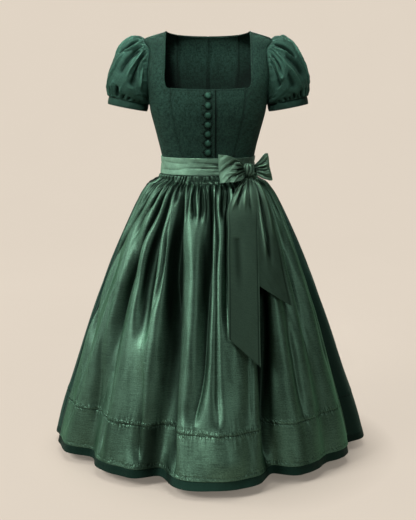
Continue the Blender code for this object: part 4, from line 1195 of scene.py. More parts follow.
def puckers(turn, z, line_z, reach, seed, pace):
    """Short creases across a line of stitches."""
    phase = turn * pace + 1.1 * uneven(turn * 0.45, seed)
    length = reach * (0.65 + 0.35 * np.sin(1.9 * phase + seed))
    lean = phase + (z - line_z) * 9 * uneven(turn * 0.8, seed + 2)
    return np.sin(lean * 2 * math.pi) * bell(z - line_z, length, 1.3)


def tuck_relief(turn, z):
    """The tuck above the hem, with its puckers."""
    tuck = 0.0006 * bell(z - TUCK_Z - 0.003, 0.0040) - 0.0010 * bell(z - TUCK_Z + 0.0020, 0.0014)
    crimp = 0.0007 * puckers(turn, z, TUCK_Z, 0.009, 1, 0.47)
    crimp = crimp + 0.0009 * puckers(turn, z, TUCK_Z, 0.026, 4, 0.17)
    return tuck + crimp * (1 + 0.2 * ease(-z, 0.9700, 0.9745))


def line_relief(turn, z, edge_z, above, depth, size, reach, seed):
    """A row of stitches pressed in, so far above a hem's edge, and the puckers across it."""
    line = -depth * bell(z - edge_z - above, 0.0016)
    return line + size * puckers(turn, z, edge_z + above, reach, seed, 0.50)


def broad_relief(turn, z, seed):
    """Soft unevenness of hanging cloth between its folds."""
    fall = ease(-z, 0.42, 0.62)
    soft = uneven(turn * 0.13 + z * 6, seed) * 0.6 + uneven(turn * 0.22 - z * 9, seed + 2) * 0.4
    small = uneven(turn * 0.60 + z * 21, seed + 3)
    return fall * (0.0024 * soft + 0.0006 * small)


# The apron's side edges and the stitches of its hem. The header stands in from the surface, and the
# cloth springs out below it.
APRON_TURN = 78.75
APRON_STITCH_Z = APRON_HEM_Z + 0.009
HEADER_INSET = 0.0085
SPRING_OUT = 0.0040
# Painted shade in the hem band, where deep folds run out: turn, half-width and strength.
HEM_DARKS = [(-23.6, 4.2, 0.92), (-14.6, 2.4, 0.90), (23.6, 3.0, 0.80), (38.5, 2.6, 0.55),
             (-42.0, 2.0, 0.55)]
# How far the finishes darken a place in full painted shade, and how many times lighter than the plain cloth
# the colours are made; the painted shade brings them back down, except where painted light falls.
SKIRT_HIDDEN = 0.955
APRON_HIDDEN = 0.948
SKIRT_TONE = 2.2
APRON_TONE = 1.4


def lit_heights(z):
    """How far a height belongs to the hem band, and to the part below the middle, where the painted light
    spots fall.
    """
    return ease(-z, 0.950, 0.985), window(-z, 0.56, 0.68, 0.82, 0.92)


def skirt_grid(turn, z, relief, hollows, inset):
    """Outer and inner faces of a gathered piece, and its painted shade: where its folds keep the light off,
    with painted light spots.
    """
    base = skirt(turn, z)
    across = normals(skirt, turn, z)
    level = unit(across * np.array([1.0, 1.0, 0.35]))
    shifted = z - 0.014 * ease(np.abs(turn), 10, 42) * (1 - ease(-z, 0.39, 0.45))
    scale = np.radians(np.hypot(base[..., 0], base[..., 1])) / (1 + 0.22 * (1 - ease(-z, 0.40, 0.52)))
    depth = hollow_depth(turn, shifted, scale, hollows)
    raised = relief(turn, z)
    stand = raised + SPRING_OUT * ease(-shifted, -GATHER_Z, -GATHER_Z + 0.014) - depth
    inwards = inset(turn, z) + HEADER_INSET * window(-z, 0.3670, 0.3770, 0.3820, 0.3940)
    points = base + level * (stand - inwards)[..., None]

    # painted shade and light: dark in the hollows and the header's gathers, lighter at the lit spots, dark
    # on the skirt's strip below the apron away from the middle, dark along the tuck's and the hem's
    # stitches, and the hem band's dark places
    fall = ease(-z, 0.42, 0.80)
    low, middle = lit_heights(z)
    lit = low * bell(turn + 2, 9) + middle * bell(turn + 32, 7)
    header = window(-z, 0.3655, 0.3670, 0.3850, 0.4300)
    shades = [
        ease(depth / (1 + 2.0 * fall), 0.0014, 0.0082) * (1 - 0.08 * fall),
        header * (0.86 - raised / 0.0030),
        0.24 * (1 - lit),
        0.62 * ease(-z, 1.0785, 1.0815) * (1 - bell(turn - 2, 17)),
        0.75 * bell(z - TUCK_Z + 0.0022, 0.0017),
        0.45 * bell(z - APRON_STITCH_Z, 0.0015),
    ]
    shades += [low * dark * bell(turn - place, half) for place, half, dark in HEM_DARKS]
    return walls(points, facing(points, across), SKIRT_WALL), np.clip(np.max(shades, axis=0), 0, 1)


def heights_between(stops):
    """Row heights: (start, count to the next stop) pairs, closely set at both folded edges."""
    parts = [np.linspace(a[0], b[0], a[1], endpoint=False) for a, b in zip(stops, stops[1:])]
    rows = np.concatenate(parts)
    return np.concatenate([rows[0] - EDGE_STEPS, rows[1:], stops[-1][0] + EDGE_STEPS[::-1]])


def turns_between(start, end, count):
    """Column turns, closely set at both folded edges."""
    step = np.degrees(EDGE_STEPS / WAIST_RADIUS)
    return np.concatenate([start + step, np.linspace(start, end, count)[1:-1], end - step[::-1]])


def apron_relief(turn, z):
    """All that stands on the apron beyond its large folds and its hollows."""
    hem = line_relief(turn, z, APRON_HEM_Z, 0.009, 0.0007, 0.0006, 0.008, 7)
    return header_relief(turn, z, 0) + (tuck_relief(turn, z) + hem) + broad_relief(turn, z, 1)


def skirt_back_relief(turn, z):
    """The same for the skirt's back."""
    hem = line_relief(turn, z, HEM_Z, 0.012, 0.0006, 0.0005, 0.010, 3)
    return header_relief(turn, z, 3) + broad_relief(turn, z, 4) + hem + tuck_relief(turn, z)


def skirt_front_relief(turn, z):
    """The same for the skirt's front, which shows below the apron and beside it."""
    hem = line_relief(turn, z, HEM_Z, 0.010, 0.0006, 0.0004, 0.010, 5)
    return hem + broad_relief(turn, z, 1) + tuck_relief(turn, z) * ease(np.abs(turn), 80, 83)


def front_inset(turn, z):
    """The skirt's front lies under the apron, and rises to the surface beside it."""
    under = 0.0040 + 0.0024 * window(-z, 0.366, 0.385, 0.44, 0.55)
    beside = ease(np.abs(turn), 80, 87) * ease(-z, 0.366, 0.380)
    return under * (1 - 0.85 * beside) - 0.0010 * ease(-z, 1.070, 1.085)


def back_inset(z):
    """The skirt's back lies inside the band and rises to the surface below it."""
    return 0.0044 * (1 - ease(-z, 0.366, 0.380))


def skirt_shade(turn, z, shade):
    """The skirt's painted shade and light: painted shadow beside the apron's edge and painted light at the
    dress's sides.
    """
    side = np.minimum(np.abs(turn), 360 - np.abs(turn))
    # painted light at the dress's sides, stronger on the wearer's left; painted shadow under the apron's
    # edge
    glow = np.where((turn > 0) & (turn < 180), 1.2, 0.3)
    lit = glow * window(side, 83, 90, 108, 150)
    under_edge = 0.55 * (1 - ease(side, 81, 87)) * ease(side, 76, 79)
    kept = (1 - 0.9 * shade) / SKIRT_TONE * (1 + ease(-z, 0.50, 0.75) * (lit - under_edge))
    return np.clip((1 - kept) / SKIRT_HIDDEN, 0, 1)


def make_panel(node, slot, material, turns, stops, relief, hollows, inset, painted_shading):
    """One gathered panel, which hangs from the waist; the function given last sets its painted shade and
    light.
    """
    turn, z = np.meshgrid(turns_between(*turns), heights_between(stops))
    faces, shade = skirt_grid(turn, z, relief, hollows, inset)
    hang_cloth(node, slot, material, faces, painted_shading(turn, z, shade))


def make_skirt(looks):
    """Front and back of the skirt."""
    material = plain_cloth("skirt_weave", looks.skirt_colour, 0.65, 0.14, 0.03, hidden=SKIRT_HIDDEN)
    top = (WAIST_Z - SEAM_GAP, 4)
    tuck = [(-0.962, 3), (-0.9695, 8), (-0.9785, 2)]
    stops = [top, (-0.366, 8), (-0.390, 8), (-0.450, 12), (-0.640, 18)] + tuck
    make_panel("skirt_front", "skirt_cloth", material, (-90, 90, 300),
               stops + [(-0.990, 5), (-1.060, 14), (HEM_Z, 0)],
               skirt_front_relief, FRONT_HOLLOWS, front_inset, skirt_shade)
    stops = [top, (-0.366, 16), (-0.396, 14), (-0.450, 18), (-0.640, 30)] + tuck
    make_panel("skirt_back", "skirt_cloth", material, (90, 270, 330),
               stops + [(-0.990, 8), (-1.060, 12), (HEM_Z, 0)],
               skirt_back_relief, rule_hollows(90, 270, 5.6), lambda turn, z: back_inset(z),
               skirt_shade)


def apron_shade(turn, z, shade):
    """The apron's painted shade, with painted light where its satin bellies out towards the light."""
    low, middle = lit_heights(z)
    lit = low * (0.46 * bell(turn + 2.5, 7.5) + 0.36 * bell(turn - 30.5, 4.5))
    kept = (1 - 0.93 * shade) / APRON_TONE * (1 + lit + 0.34 * middle * bell(turn + 32, 6))
    return np.clip((1 - kept) / APRON_HIDDEN, 0, 1)


def make_apron(looks):
    """The apron, gathered under its band."""
    stitches = [(TUCK_Z, 0.0080, 8.0), (APRON_STITCH_Z, 0.0055, 5.0)]
    material = satin("apron_satin_weave", looks.apron_colour, 0.46, 0.50, 0.78, 0.0, stitches, APRON_HIDDEN)
    make_panel("apron", "apron_satin", material, (-APRON_TURN, APRON_TURN, 420),
               [(BAND_BOTTOM_Z - SEAM_GAP, 16), (-0.396, 14), (-0.450, 16), (-0.640, 26), (-0.955, 14),
                (-0.990, 12), (-1.060, 9), (APRON_HEM_Z, 0)],
               apron_relief, FRONT_HOLLOWS, lambda turn, z: 0.0, apron_shade)


# Apron band ---------------------------------------------------------------------------------

BAND = [  # z, half width, front depth, back depth
    (BAND_TOP_Z, 0.1252, 0.1025, 0.0935),
    (WAIST_Z, 0.1250, 0.1025, 0.0935),
    (BAND_BOTTOM_Z, 0.1268, 0.1045, 0.0955),
]


def band(turn, z):
    """Outer face of the apron band."""
    return rounded(turn, z, BAND, TORSO_POWER)


# Creases along the band: start and end turn, height at each, depth and half-height.
BAND_CREASES = [
    (-75, -18, -0.3330, -0.3365, 0.0007, 0.0032),
    (-80, -25, -0.3560, -0.3510, 0.0007, 0.0034),
    (-24, 46, -0.3335, -0.3420, 0.0015, 0.0022),
    (-12, 46, -0.3400, -0.3445, 0.0014, 0.0017),
    (-34, 46, -0.3490, -0.3475, 0.0014, 0.0022),
    (-5, 46, -0.3600, -0.3510, 0.0013, 0.0019),
    (60, 130, -0.3400, -0.3320, 0.0012, 0.0026),
    (62, 150, -0.3500, -0.3520, 0.0012, 0.0028),
    (120, 210, -0.3380, -0.3440, 0.0010, 0.0028),
    (150, 260, -0.3560, -0.3480, 0.0011, 0.0026),
    (210, 290, -0.3330, -0.3400, 0.0010, 0.0026),
]


def make_band(looks):
    """The apron's band all round the waist, with soft level creases."""
    # the band's colour is the ribbon's made 1.65 times lighter, a painted light that the painted shade below
    # darkens again
    material = satin("band_satin_weave", toned(looks.ribbon_colour, 1.65), 0.55, 0.16, 0.50, 0.6)
    z = BAND_TOP_Z - spaced(40, BAND_TOP_Z - BAND_BOTTOM_Z, RIBBON_WALL / 2)
    turn, z = np.meshgrid(np.linspace(0, 360, 300, endpoint=False), z)
    base = band(turn, z)
    across = normals(band, turn, z)
    rise = 0.0005 * uneven(turn * 0.10 + z * 90, 3)
    way = turn - 360 * (turn > 250)
    # painted shade: light on the wearer's right front, darker towards the bow and past it, lighter again at
    # the back, in uneven patches and dark in the creases
    dark = 0.10 + 0.38 * ease(way, -34, 4) + 0.40 * ease(way, 4, 34) - 0.60 * ease(way, 90, 160)
    dark = dark + 0.14 * uneven(turn * 0.16 + z * 80, 5) + 0.10 * uneven(turn * 0.45 - z * 120, 8)
    for start, end, start_z, end_z, depth, width in BAND_CREASES:
        share = (turn - start) / (end - start)
        share = np.where(share > 1, (turn - 360 - start) / (end - start), share)
        line = start_z + (end_z - start_z) * share + 0.0008 * np.sin(share * 7)
        taper = window(share, 0, 0.45, 0.85, 1.0)
        crease = taper * bell(z - line, width, 1.5)
        rise = rise - 1.3 * depth * crease
        dark = dark + 350 * depth * crease
    edge = np.minimum(BAND_TOP_Z - z, z - BAND_BOTTOM_Z)
    rise = rise * ease(edge, 0, 0.004)
    points = base + across * rise[..., None]
    hang_cloth("apron_band", "ribbon_satin", material, walls(points, across, RIBBON_WALL, True),
               np.clip(dark, 0, 0.95), True)


# Buttons ------------------------------------------------------------------------------------

def front_place(z, x):
    """A point on the lapped front, and its directions sideways, upwards and outwards."""
    turn = turn_at(np.array(x), np.array(z))
    out = normals(torso, turn, np.array(z))
    place = torso(turn, np.array(z)) + out * (BODICE_WALL + LAP_CLEARANCE)
    up = unit(np.cross(np.array([1.0, 0.0, 0.0]), out))
    up = up if up[2] > 0 else -up
    return place, np.stack([np.cross(up, out), up, out])


def ball(name, segments, rings):
    """A sphere to model small pieces from, and its points."""
    deselect()
    bpy.ops.mesh.primitive_uv_sphere_add(segments=segments, ring_count=rings, radius=1.0)
    model = bpy.context.object
    model.name = name
    return model, np.array([v.co for v in model.data.vertices])


def copy_on_front(model, name, points, z, x, stand):
    """The mesh of a copy of a model, with its points set on the lapped front."""
    place, directions = front_place(z, x)
    mesh = model.data.copy()
    mesh.name = name
    moved = place + directions[2] * stand + points @ directions
    mesh.vertices.foreach_set("co", moved.astype(np.float32).reshape(-1))
    mesh.update()
    mesh.materials.clear()
    return mesh


def make_buttons(looks):
    """Covered buttons: a low dome drawn smooth over its mould, with the cloth gathered beneath."""
    material = plain_cloth("button_weave", looks.button_colour, 0.42, 0.12, 0.05, 0.40)
    model, co = ball("button_model", 40, 22)
    x, y, level = co.T
    ruffle = 1 + 0.025 * np.cos(18 * np.arctan2(y, x)) * bell(level + 0.45, 0.25)
    under = 1 - 0.45 * ease(-level, 0.35, 1.0)
    height = np.where(level > 0, level * 0.66, level * 0.34) + 0.34
    height = height - 0.02 * ease(np.hypot(x, y), 0.6, 0.9) * (level > 0)
    points = np.stack([x * ruffle * under, y * ruffle * under, height], axis=1)
    points = points * np.array([BUTTON_RADIUS, BUTTON_RADIUS, BUTTON_HEIGHT])
    # painted shade: darker round the button's rim and on its underside
    rim = ease(np.hypot(points[:, 0], points[:, 1]), 0.0056, 0.0080)
    marks = np.maximum(0.85 * rim, 1 - ease(points[:, 2], 0.0018, 0.0042))
    for number, z in enumerate(BUTTON_LEVELS):
        mesh = copy_on_front(model, "covered_button_%d" % (number + 1), points, z, 0.0, SEAM_GAP)
        layer = mesh.uv_layers[0]
        layer.name = "cloth"
        corners = np.zeros(len(mesh.loops), np.int32)
        mesh.loops.foreach_get("vertex_index", corners)
        spread = points[corners, :2] + number * 0.013
        layer.data.foreach_set("uv", spread.astype(np.float32).reshape(-1))
        mark_shade(mesh, marks)
        settle(placed(mesh, material), "button_cloth", "button_%d" % (number + 1))
    bpy.data.objects.remove(model)
    make_buttonholes(looks)


def make_buttonholes(looks):
    """The end of each stitched buttonhole, which shows beside its button."""
    # the thread is made far darker than the cloth: painted shade of the buttonhole's slit
    material = thread_finish("buttonhole_thread", toned(looks.bodice_colour, 0.05))
    model, co = ball("buttonhole_model", 14, 8)
    points = co * np.array([0.0044, 0.0012, 0.0006])
    for number, z in enumerate(BUTTON_LEVELS):
        mesh = copy_on_front(model, "buttonhole_%d" % (number + 1), points, z, -0.0125, 0.0002)
        settle(placed(mesh, material), "bodice_wool")
    bpy.data.objects.remove(model)


# Bow ----------------------------------------------------------------------------------------

COVER = [  # z, half width, front depth
    (-0.300, 0.1290, 0.1080),
    (-0.345, 0.1300, 0.1090),
    (-0.366, 0.1370, 0.1160),
    (-0.378, 0.1480, 0.1270),
    (-0.390, 0.1590, 0.1370),
    (-0.415, 0.1790, 0.1560),
    (-0.442, 0.1930, 0.1660),
    (-0.523, 0.2310, 0.2000),
    (-0.633, 0.2770, 0.2430),
    (-0.745, 0.3190, 0.2820),
    (-0.860, 0.3580, 0.3180),
]


def cover(x, z):
    """The smooth surface just outside band and apron where the bow lies, by x and z."""
    depth = lookup(COVER, 2, z) * np.sqrt(np.clip(1 - (x / lookup(COVER, 1, z)) ** 2, 0.0, 1))
    return np.stack([x + 0 * z, -depth, z + 0 * x], axis=-1)


FRONT_TAIL = [  # z, left, right, stand
    (-0.372, 0.083, 0.104, 0.0150),
    (-0.395, 0.068, 0.114, 0.0120),
    (-0.430, 0.052, 0.122, 0.0080),
    (-0.500, 0.049, 0.124, 0.0065),
    (-0.640, 0.049, 0.126, 0.0065),
    (-0.748, 0.049, 0.128, 0.0065),
]
FRONT_TAIL_CUT = 0.073
BACK_TAIL = [  # z, left, right, stand
    (-0.372, 0.095, 0.116, 0.0070),
    (-0.395, 0.096, 0.134, 0.0060),
    (-0.430, 0.098, 0.152, 0.0035),
    (-0.500, 0.104, 0.173, 0.0030),
    (-0.580, 0.110, 0.196, 0.0030),
    (-0.623, 0.115, 0.211, 0.0030),
]
BACK_TAIL_CUT = 0.067
TAIL_WIDTH = 0.075


# Creases of the hanging ends: places (millimetres below the knot, share of the width, half-width,
# depth), then lean, sharpness and closing as elsewhere.
FRONT_TAIL_CREASES = [
    ([(2, 0.34, 1.5, 5), (20, 0.33, 2.6, 8), (45, 0.31, 3.2, 7), (75, 0.34, 3.6, 4)], 1, 1.5, 0.03),
    ([(2, 0.62, 1.5, 5), (20, 0.62, 2.4, 8), (50, 0.7, 2.8, 7), (85, 0.8, 3.5, 4)], 1, 1.5, 0.04),
    ([(2, 0.12, 1.2, 4), (20, 0.1, 1.6, 5), (50, 0.05, 2, 3)], 1, 1.5, 0.03),
    ([(2, 0.86, 1.2, 4), (25, 0.9, 1.6, 4)], 1, 1.5, 0.03),
    ([(8, 0.2, 1.6, -2), (50, 0.17, 3, -4), (80, 0.12, 3.5, -3)], 1, 1.5, 0.03),
    ([(8, 0.47, 1.6, -2), (45, 0.5, 3, -4), (80, 0.55, 3.5, -3)], 1, 1.5, 0.03),
    ([(140, 0.3, 12, 2), (300, 0.38, 14, 2)], 1, 2, 0.1),
]
BACK_TAIL_CREASES = [
    ([(2, 0.56, 1.4, -2), (50, 0.5, 2.4, -5), (130, 0.46, 3, -5), (200, 0.45, 4, -3)], 0.8, 1.3, 0.06),
    ([(2, 0.72, 1.5, 5), (50, 0.68, 3, 8), (130, 0.62, 4.5, 8), (200, 0.6, 6, 4)], 1, 1.5, 0.06),
    ([(2, 0.36, 1.5, 4), (50, 0.34, 2.6, 6), (120, 0.34, 3.2, 5)], 1, 1.5, 0.05),
    ([(10, 0.88, 1.5, -3), (90, 0.84, 3, -3), (160, 0.8, 4, -2)], 1, 1.5, 0.05),
]


def make_tail(name, rows, cut_drop, creases, material, seed):
    """A hanging ribbon end, gathered at the knot and cut slantwise at its foot."""
    roll = RIBBON_WALL / 2
    top, foot = rows[0][0], rows[-1][0]
    level = (top - spaced(96, top - foot, roll))[:, None]
    share = (spaced(46, TAIL_WIDTH, roll) / TAIL_WIDTH)[None]
    left, right, stand = (lookup(rows, k, level) for k in (1, 2, 3))
    width = right - left
    fall = np.clip((top - level) / (top - foot), 0, 1)
    x = left + width * share
    z = level - cut_drop * share * fall ** 3
    step = 0.001
    across = unit(np.cross(cover(x + step, z) - cover(x - step, z), cover(x, z + step) - cover(x, z - step)))
    level_out = unit(across * np.array([1.0, 1.0, 0.0]))
    edge = np.minimum(share, 1 - share) * width
    seam = bell(edge - 0.0050, 0.0009) * ease(fall, 0.1, 0.3)
    hollow = hollow_depth(share, level - top, width, creases, 0.004, 100.0)
    slant = uneven(share * 3.1 + fall * 9, seed) * 0.0009 + uneven(share * 7 - fall * 16, seed + 2) * 0.0004
    relief = slant * ease(fall, 0.05, 0.3) - 1.2 * hollow - 0.0005 * seam
    points = cover(x, z) + level_out * (stand + relief + RIBBON_WALL)[..., None]
    # painted shade: darker from a little below the knot down, darkest just under it, dark in the creases and
    # along the stitches; painted highlights on the ridges and the edges
    shade = 0.32 + 0.30 * ease(fall, 0.10, 0.30) + 0.88 * ease(hollow, 0.0006, 0.0045)
    shade = shade - 0.50 * ease(-hollow, 0.0006, 0.003) + 0.35 * bell(fall, 0.035)
    shade = np.clip(shade - 0.2 * bell(edge, 0.0016) + 0.4 * seam, 0, 1)
    faces = walls(points, facing(points, across), RIBBON_WALL)
    hang_cloth(name, "ribbon_satin", material, faces, shade)


def bow_frame():
    """The knot's middle on the band, and the directions across, up and out there."""
    on_band = cover(np.array(KNOT_X), np.array(KNOT_Z))
    out = unit(np.array([on_band[0] * 0.35, on_band[1], 0.0]))
    across = np.array([-out[1], out[0], 0.0])
    return on_band + out * (0.004 + KNOT_DEPTH / 2), across, np.array([0.0, 0.0, 1.0]), out


LOOP_WIDTH = 0.066
LOOP_RIGHT = [  # across, out, half height, rise
    (0.0175, 0.0075, 0.0120, 0.000),
    (0.0320, 0.0150, 0.0230, 0.001),
    (0.0560, 0.0180, 0.0310, 0.002),
    (0.0780, 0.0120, 0.0345, 0.002),
    (0.0870, 0.0020, 0.0350, 0.002),
    (0.0790, -0.0045, 0.0340, 0.002),
    (0.0560, -0.0060, 0.0290, 0.001),
    (0.0320, -0.0050, 0.0200, 0.000),
    (0.0175, -0.0035, 0.0105, 0.000),
]
LOOP_LEFT = [  # across, out, half height, rise
    (0.0175, 0.0075, 0.0120, 0.000),
    (0.0300, 0.0140, 0.0220, 0.001),
    (0.0480, 0.0160, 0.0310, 0.003),
    (0.0640, 0.0110, 0.0345, 0.004),
    (0.0720, 0.0020, 0.0350, 0.004),
    (0.0650, -0.0045, 0.0340, 0.004),
    (0.0480, -0.0055, 0.0290, 0.002),
    (0.0300, -0.0045, 0.0200, 0.000),
    (0.0175, -0.0035, 0.0105, 0.000),
]


# Creases of the loops' front: places (millimetres from the knot's middle, share of the half
# height, half-width, depth), then lean, sharpness and closing as elsewhere.
RIGHT_CREASES = [
    ([(16, 0.55, 1.6, 5), (24, 0.5, 1.8, 7), (36, 0.42, 2, 6), (50, 0.45, 2.2, 3)], 1, 1.5, 0.012),
    ([(16, 0.18, 1.6, 6), (26, 0.15, 2.4, 9), (36, 0.05, 3.4, 9), (46, -0.02, 3.6, 6)], 1, 1.8, 0.008),
    ([(16, -0.2, 1.6, 6), (26, -0.22, 2, 8), (40, -0.38, 2.2, 6), (56, -0.5, 2.4, 4)], 1, 1.5, 0.015),
    ([(16, -0.62, 1.4, 5), (28, -0.62, 1.8, 6), (44, -0.74, 2, 4)], 1, 1.5, 0.015),
    ([(18, 0.85, 1.4, 4), (34, 0.8, 1.8, 4), (60, 0.72, 2.2, 2)], 1, 1.5, 0.015),
    ([(30, 0.26, 1.4, -3), (44, 0.2, 1.8, -4), (62, 0.05, 2.4, -3)], 1, 1.4, 0.015),
    ([(26, -0.04, 1.2, -2), (40, -0.2, 1.8, -4), (58, -0.26, 2.4, -3), (74, -0.4, 3, -2)], 1, 1.4, 0.015),
    ([(46, 0.66, 2.4, 3), (58, 0.4, 2.8, 4), (66, 0.15, 2.4, 2)], 1, 1.6, 0.01),
    ([(60, -0.62, 2.4, 3), (74, -0.74, 2.6, 3)], 1, 1.6, 0.012),
]
LEFT_CREASES = [
    ([(16, 0.6, 1.6, 5), (26, 0.56, 1.9, 7), (38, 0.6, 2.2, 5), (50, 0.7, 2.2, 3)], 1, 1.5, 0.012),
    ([(16, 0.24, 1.6, 6), (24, 0.2, 2.2, 8), (34, 0.16, 3, 8), (44, 0.2, 3, 5)], 1, 1.8, 0.008),
    ([(16, -0.1, 1.6, 6), (26, -0.14, 2, 8), (38, -0.12, 2.6, 7), (52, -0.02, 2.6, 4)], 1, 1.6, 0.01),
    ([(16, -0.5, 1.5, 6), (28, -0.56, 2, 7), (42, -0.66, 2.2, 5), (54, -0.72, 2.2, 3)], 1, 1.5, 0.012),
    ([(26, 0.38, 1.4, -3), (40, 0.4, 1.8, -4), (56, 0.46, 2.4, -3)], 1, 1.4, 0.012),
    ([(26, -0.32, 1.4, -3), (40, -0.38, 1.8, -4), (58, -0.4, 2.4, -3)], 1, 1.4, 0.012),
    ([(46, -0.2, 2.2, 3), (60, 0.05, 2.8, 4), (66, 0.3, 2.6, 3)], 1, 1.7, 0.008),
]


def make_loop(name, rows, direction, creases, material, seed):
    """One loop of the bow, pleated where the knot holds it; direction is 1 for the wearer's left."""
    middle, across, up, out = bow_frame()
    places = np.arange(len(rows))
    path = spaced(110, len(rows) - 1.0, 0.03)
    reach, depth, half, rise = (smooth(places, column(rows, k), path)[None] for k in range(4))
    share = (-1 + 2 * spaced(64, LOOP_WIDTH, RIBBON_WALL / 2) / LOOP_WIDTH)[:, None]
    front = (1 - ease(path, 3.0, 4.5))[None]
    if direction > 0:
        reach = reach * (1 - (0.13 + 0.065 * (share + 1)) * ease(reach, 0.02, 0.07))
    rise = rise + 0.0045 * ease(reach, 0.03, 0.08)
    hollow = hollow_depth(share + 0.06 * uneven(reach * 130, seed), -reach, half, creases, 0.004, 100.0)
    soft = uneven(share * 2.2 + reach * 60, seed + 3) * ease(reach, 0.03, 0.07)
    fine = uneven(share * 6 + reach * 170, seed + 7) * ease(reach, 0.02, 0.04)
    relief = (0.0032 * soft + 0.0014 * fine + 0.0010 - 1.2 * hollow) * (0.25 + 0.75 * front)
    lift = 0.0120 * (1 - share) ** 2 / 4 * np.minimum(reach / 0.03, 1)
    points = (middle + across * direction * reach[..., None] + out * (depth + lift + relief)[..., None]
              + up * (rise + share * half)[..., None])
    side = unit(np.cross(np.gradient(points, axis=1), up + 0 * points)) * direction
    face = facing(points, side)
    outer, inner = walls(points, face, RIBBON_WALL)
    shift = face * RIBBON_WALL / 2
    # painted shade: the wearer's right loop darker than the left, dark in the creases, next to the knot and
    # in the soft relief's low places; painted highlights on ridges, rims and the outer ends
    base, tip = (0.37, 0.34) if direction < 0 else (0.26, 0.1)
    shade = base + 0.58 * ease(hollow, 0.001, 0.005) - 0.3 * ease(-hollow, 0.0006, 0.003)
    shade = shade - 0.30 * soft - 0.16 * fine + 0.40 * bell(reach - 0.014, 0.011)
    rim = bell((1 - np.abs(share)) * half, 0.0018) * (reach > 0.03)
    shade = np.clip(shade - 0.25 * rim - tip * ease(reach, 0.058, 0.078), 0, 1)
    hang_cloth(name, "ribbon_satin", material, (outer + shift, inner + shift), shade)


def make_knot(material):
    """The knot: the ribbon wrapped round itself, with grooves that run up and down."""
    middle, across, up, out = bow_frame()
    angle = np.linspace(0, 2 * math.pi, 96, endpoint=False)[None]
    level = np.linspace(-1, 1, 34)[:, None]
    bulge = 1.06 - np.abs(level) ** 2.4 * 0.52
    groove = np.abs(np.cos(4.0 * angle + 1.1 * level + 0.45 * np.sin(3 * level + angle))) ** 0.55
    size = bulge * (0.80 + 0.22 * groove + 0.03 * uneven(angle * 2 + level * 3, 1))
    spoke = (across * (np.cos(angle) * KNOT_HALF_WIDTH * size)[..., None]
             + out * (np.sin(angle) * KNOT_DEPTH / 2 * size)[..., None])
    points = middle + spoke + up * (level * KNOT_HALF_HEIGHT)[..., None]
    faces = walls(points, facing(points, points - middle, True), RIBBON_WALL, True)
    # painted shade in the knot's grooves
    shade = 0.22 + 0.78 * ease(1 - groove, 0.12, 0.6)
    hang_cloth("bow_knot", "ribbon_satin", material, faces, shade, True)


def make_bow(looks):
    """Knot, two loops and two hanging ends."""
    material = satin("ribbon_satin_weave", looks.ribbon_colour, 0.56, 0.20, 0.62, 0.4)
    make_knot(material)
    make_loop("bow_loop_right", LOOP_RIGHT, -1, RIGHT_CREASES, material, 0)
    make_loop("bow_loop_left", LOOP_LEFT, 1, LEFT_CREASES, material, 1)
    make_tail("bow_tail_front", FRONT_TAIL, FRONT_TAIL_CUT, FRONT_TAIL_CREASES, material, 0)
    make_tail("bow_tail_back", BACK_TAIL, BACK_TAIL_CUT, BACK_TAIL_CREASES, material, 3)


# Studio -------------------------------------------------------------------------------------

# The paper sweep, in metres. Near the dress it takes light and shadow, and between the two stops,
# in units of 1 / GLOW_SCALE metres from the shoulders, this gives way to a glow of its own.
FLOOR_FRONT_Y = -1.1
BEND_Y = 3.4
BEND_RADIUS = 1.6
WALL_HEIGHT = 7.0
SWEEP_HALF_WIDTH = 8.0
GLOW_SCALE = 0.4
GLOW_START = 0.476
GLOW_END = 0.496
PAPER_GLOW = 0.945
AIR_COLOUR = (1.0, 0.985, 0.96, 1.0)
SOFT_BOXES = [  # name, place, point that it faces, width, height
    ("key", (-3.2, -2.3, 1.9), (0, 0, -0.55), 1.8, 1.8),
    ("side", (-3.0, 0.6, 0.4), (0, 0, -0.6), 0.8, 2.0),
    ("front", (-0.35, -1.7, 1.9), (0, 0.08, -0.08), 0.45, 0.45),
    ("fill", (2.6, -3.0, 0.9), (0, 0, -0.5), 2.0, 2.0),
    ("top", (0.0, 0.2, 2.3), (0, 0.0, -1.0), 2.4, 2.4),
]
FRONT_SPREAD = math.radians(17)
CAMERA_LENS = 68.19
CAMERA_PLACE = (0.0, -2.63, -0.12)
CAMERA_TILT = 0.1825


def soft_box(name, place, target, width, height, power):
    """A soft box that faces a point."""
    light = bpy.data.lights.new(name, "AREA")
    light.shape = "RECTANGLE"
    light.size = width
    light.size_y = height
    light.energy = power
    obj = linked(light)
    obj.location = place
    aim = np.array(target, float) - np.array(place, float)
    yaw = math.atan2(aim[1], aim[0]) - math.pi / 2
    pitch = math.atan2(aim[2], math.hypot(aim[0], aim[1]))
    obj.rotation_euler = (math.pi / 2 + pitch, 0, yaw)
    return light


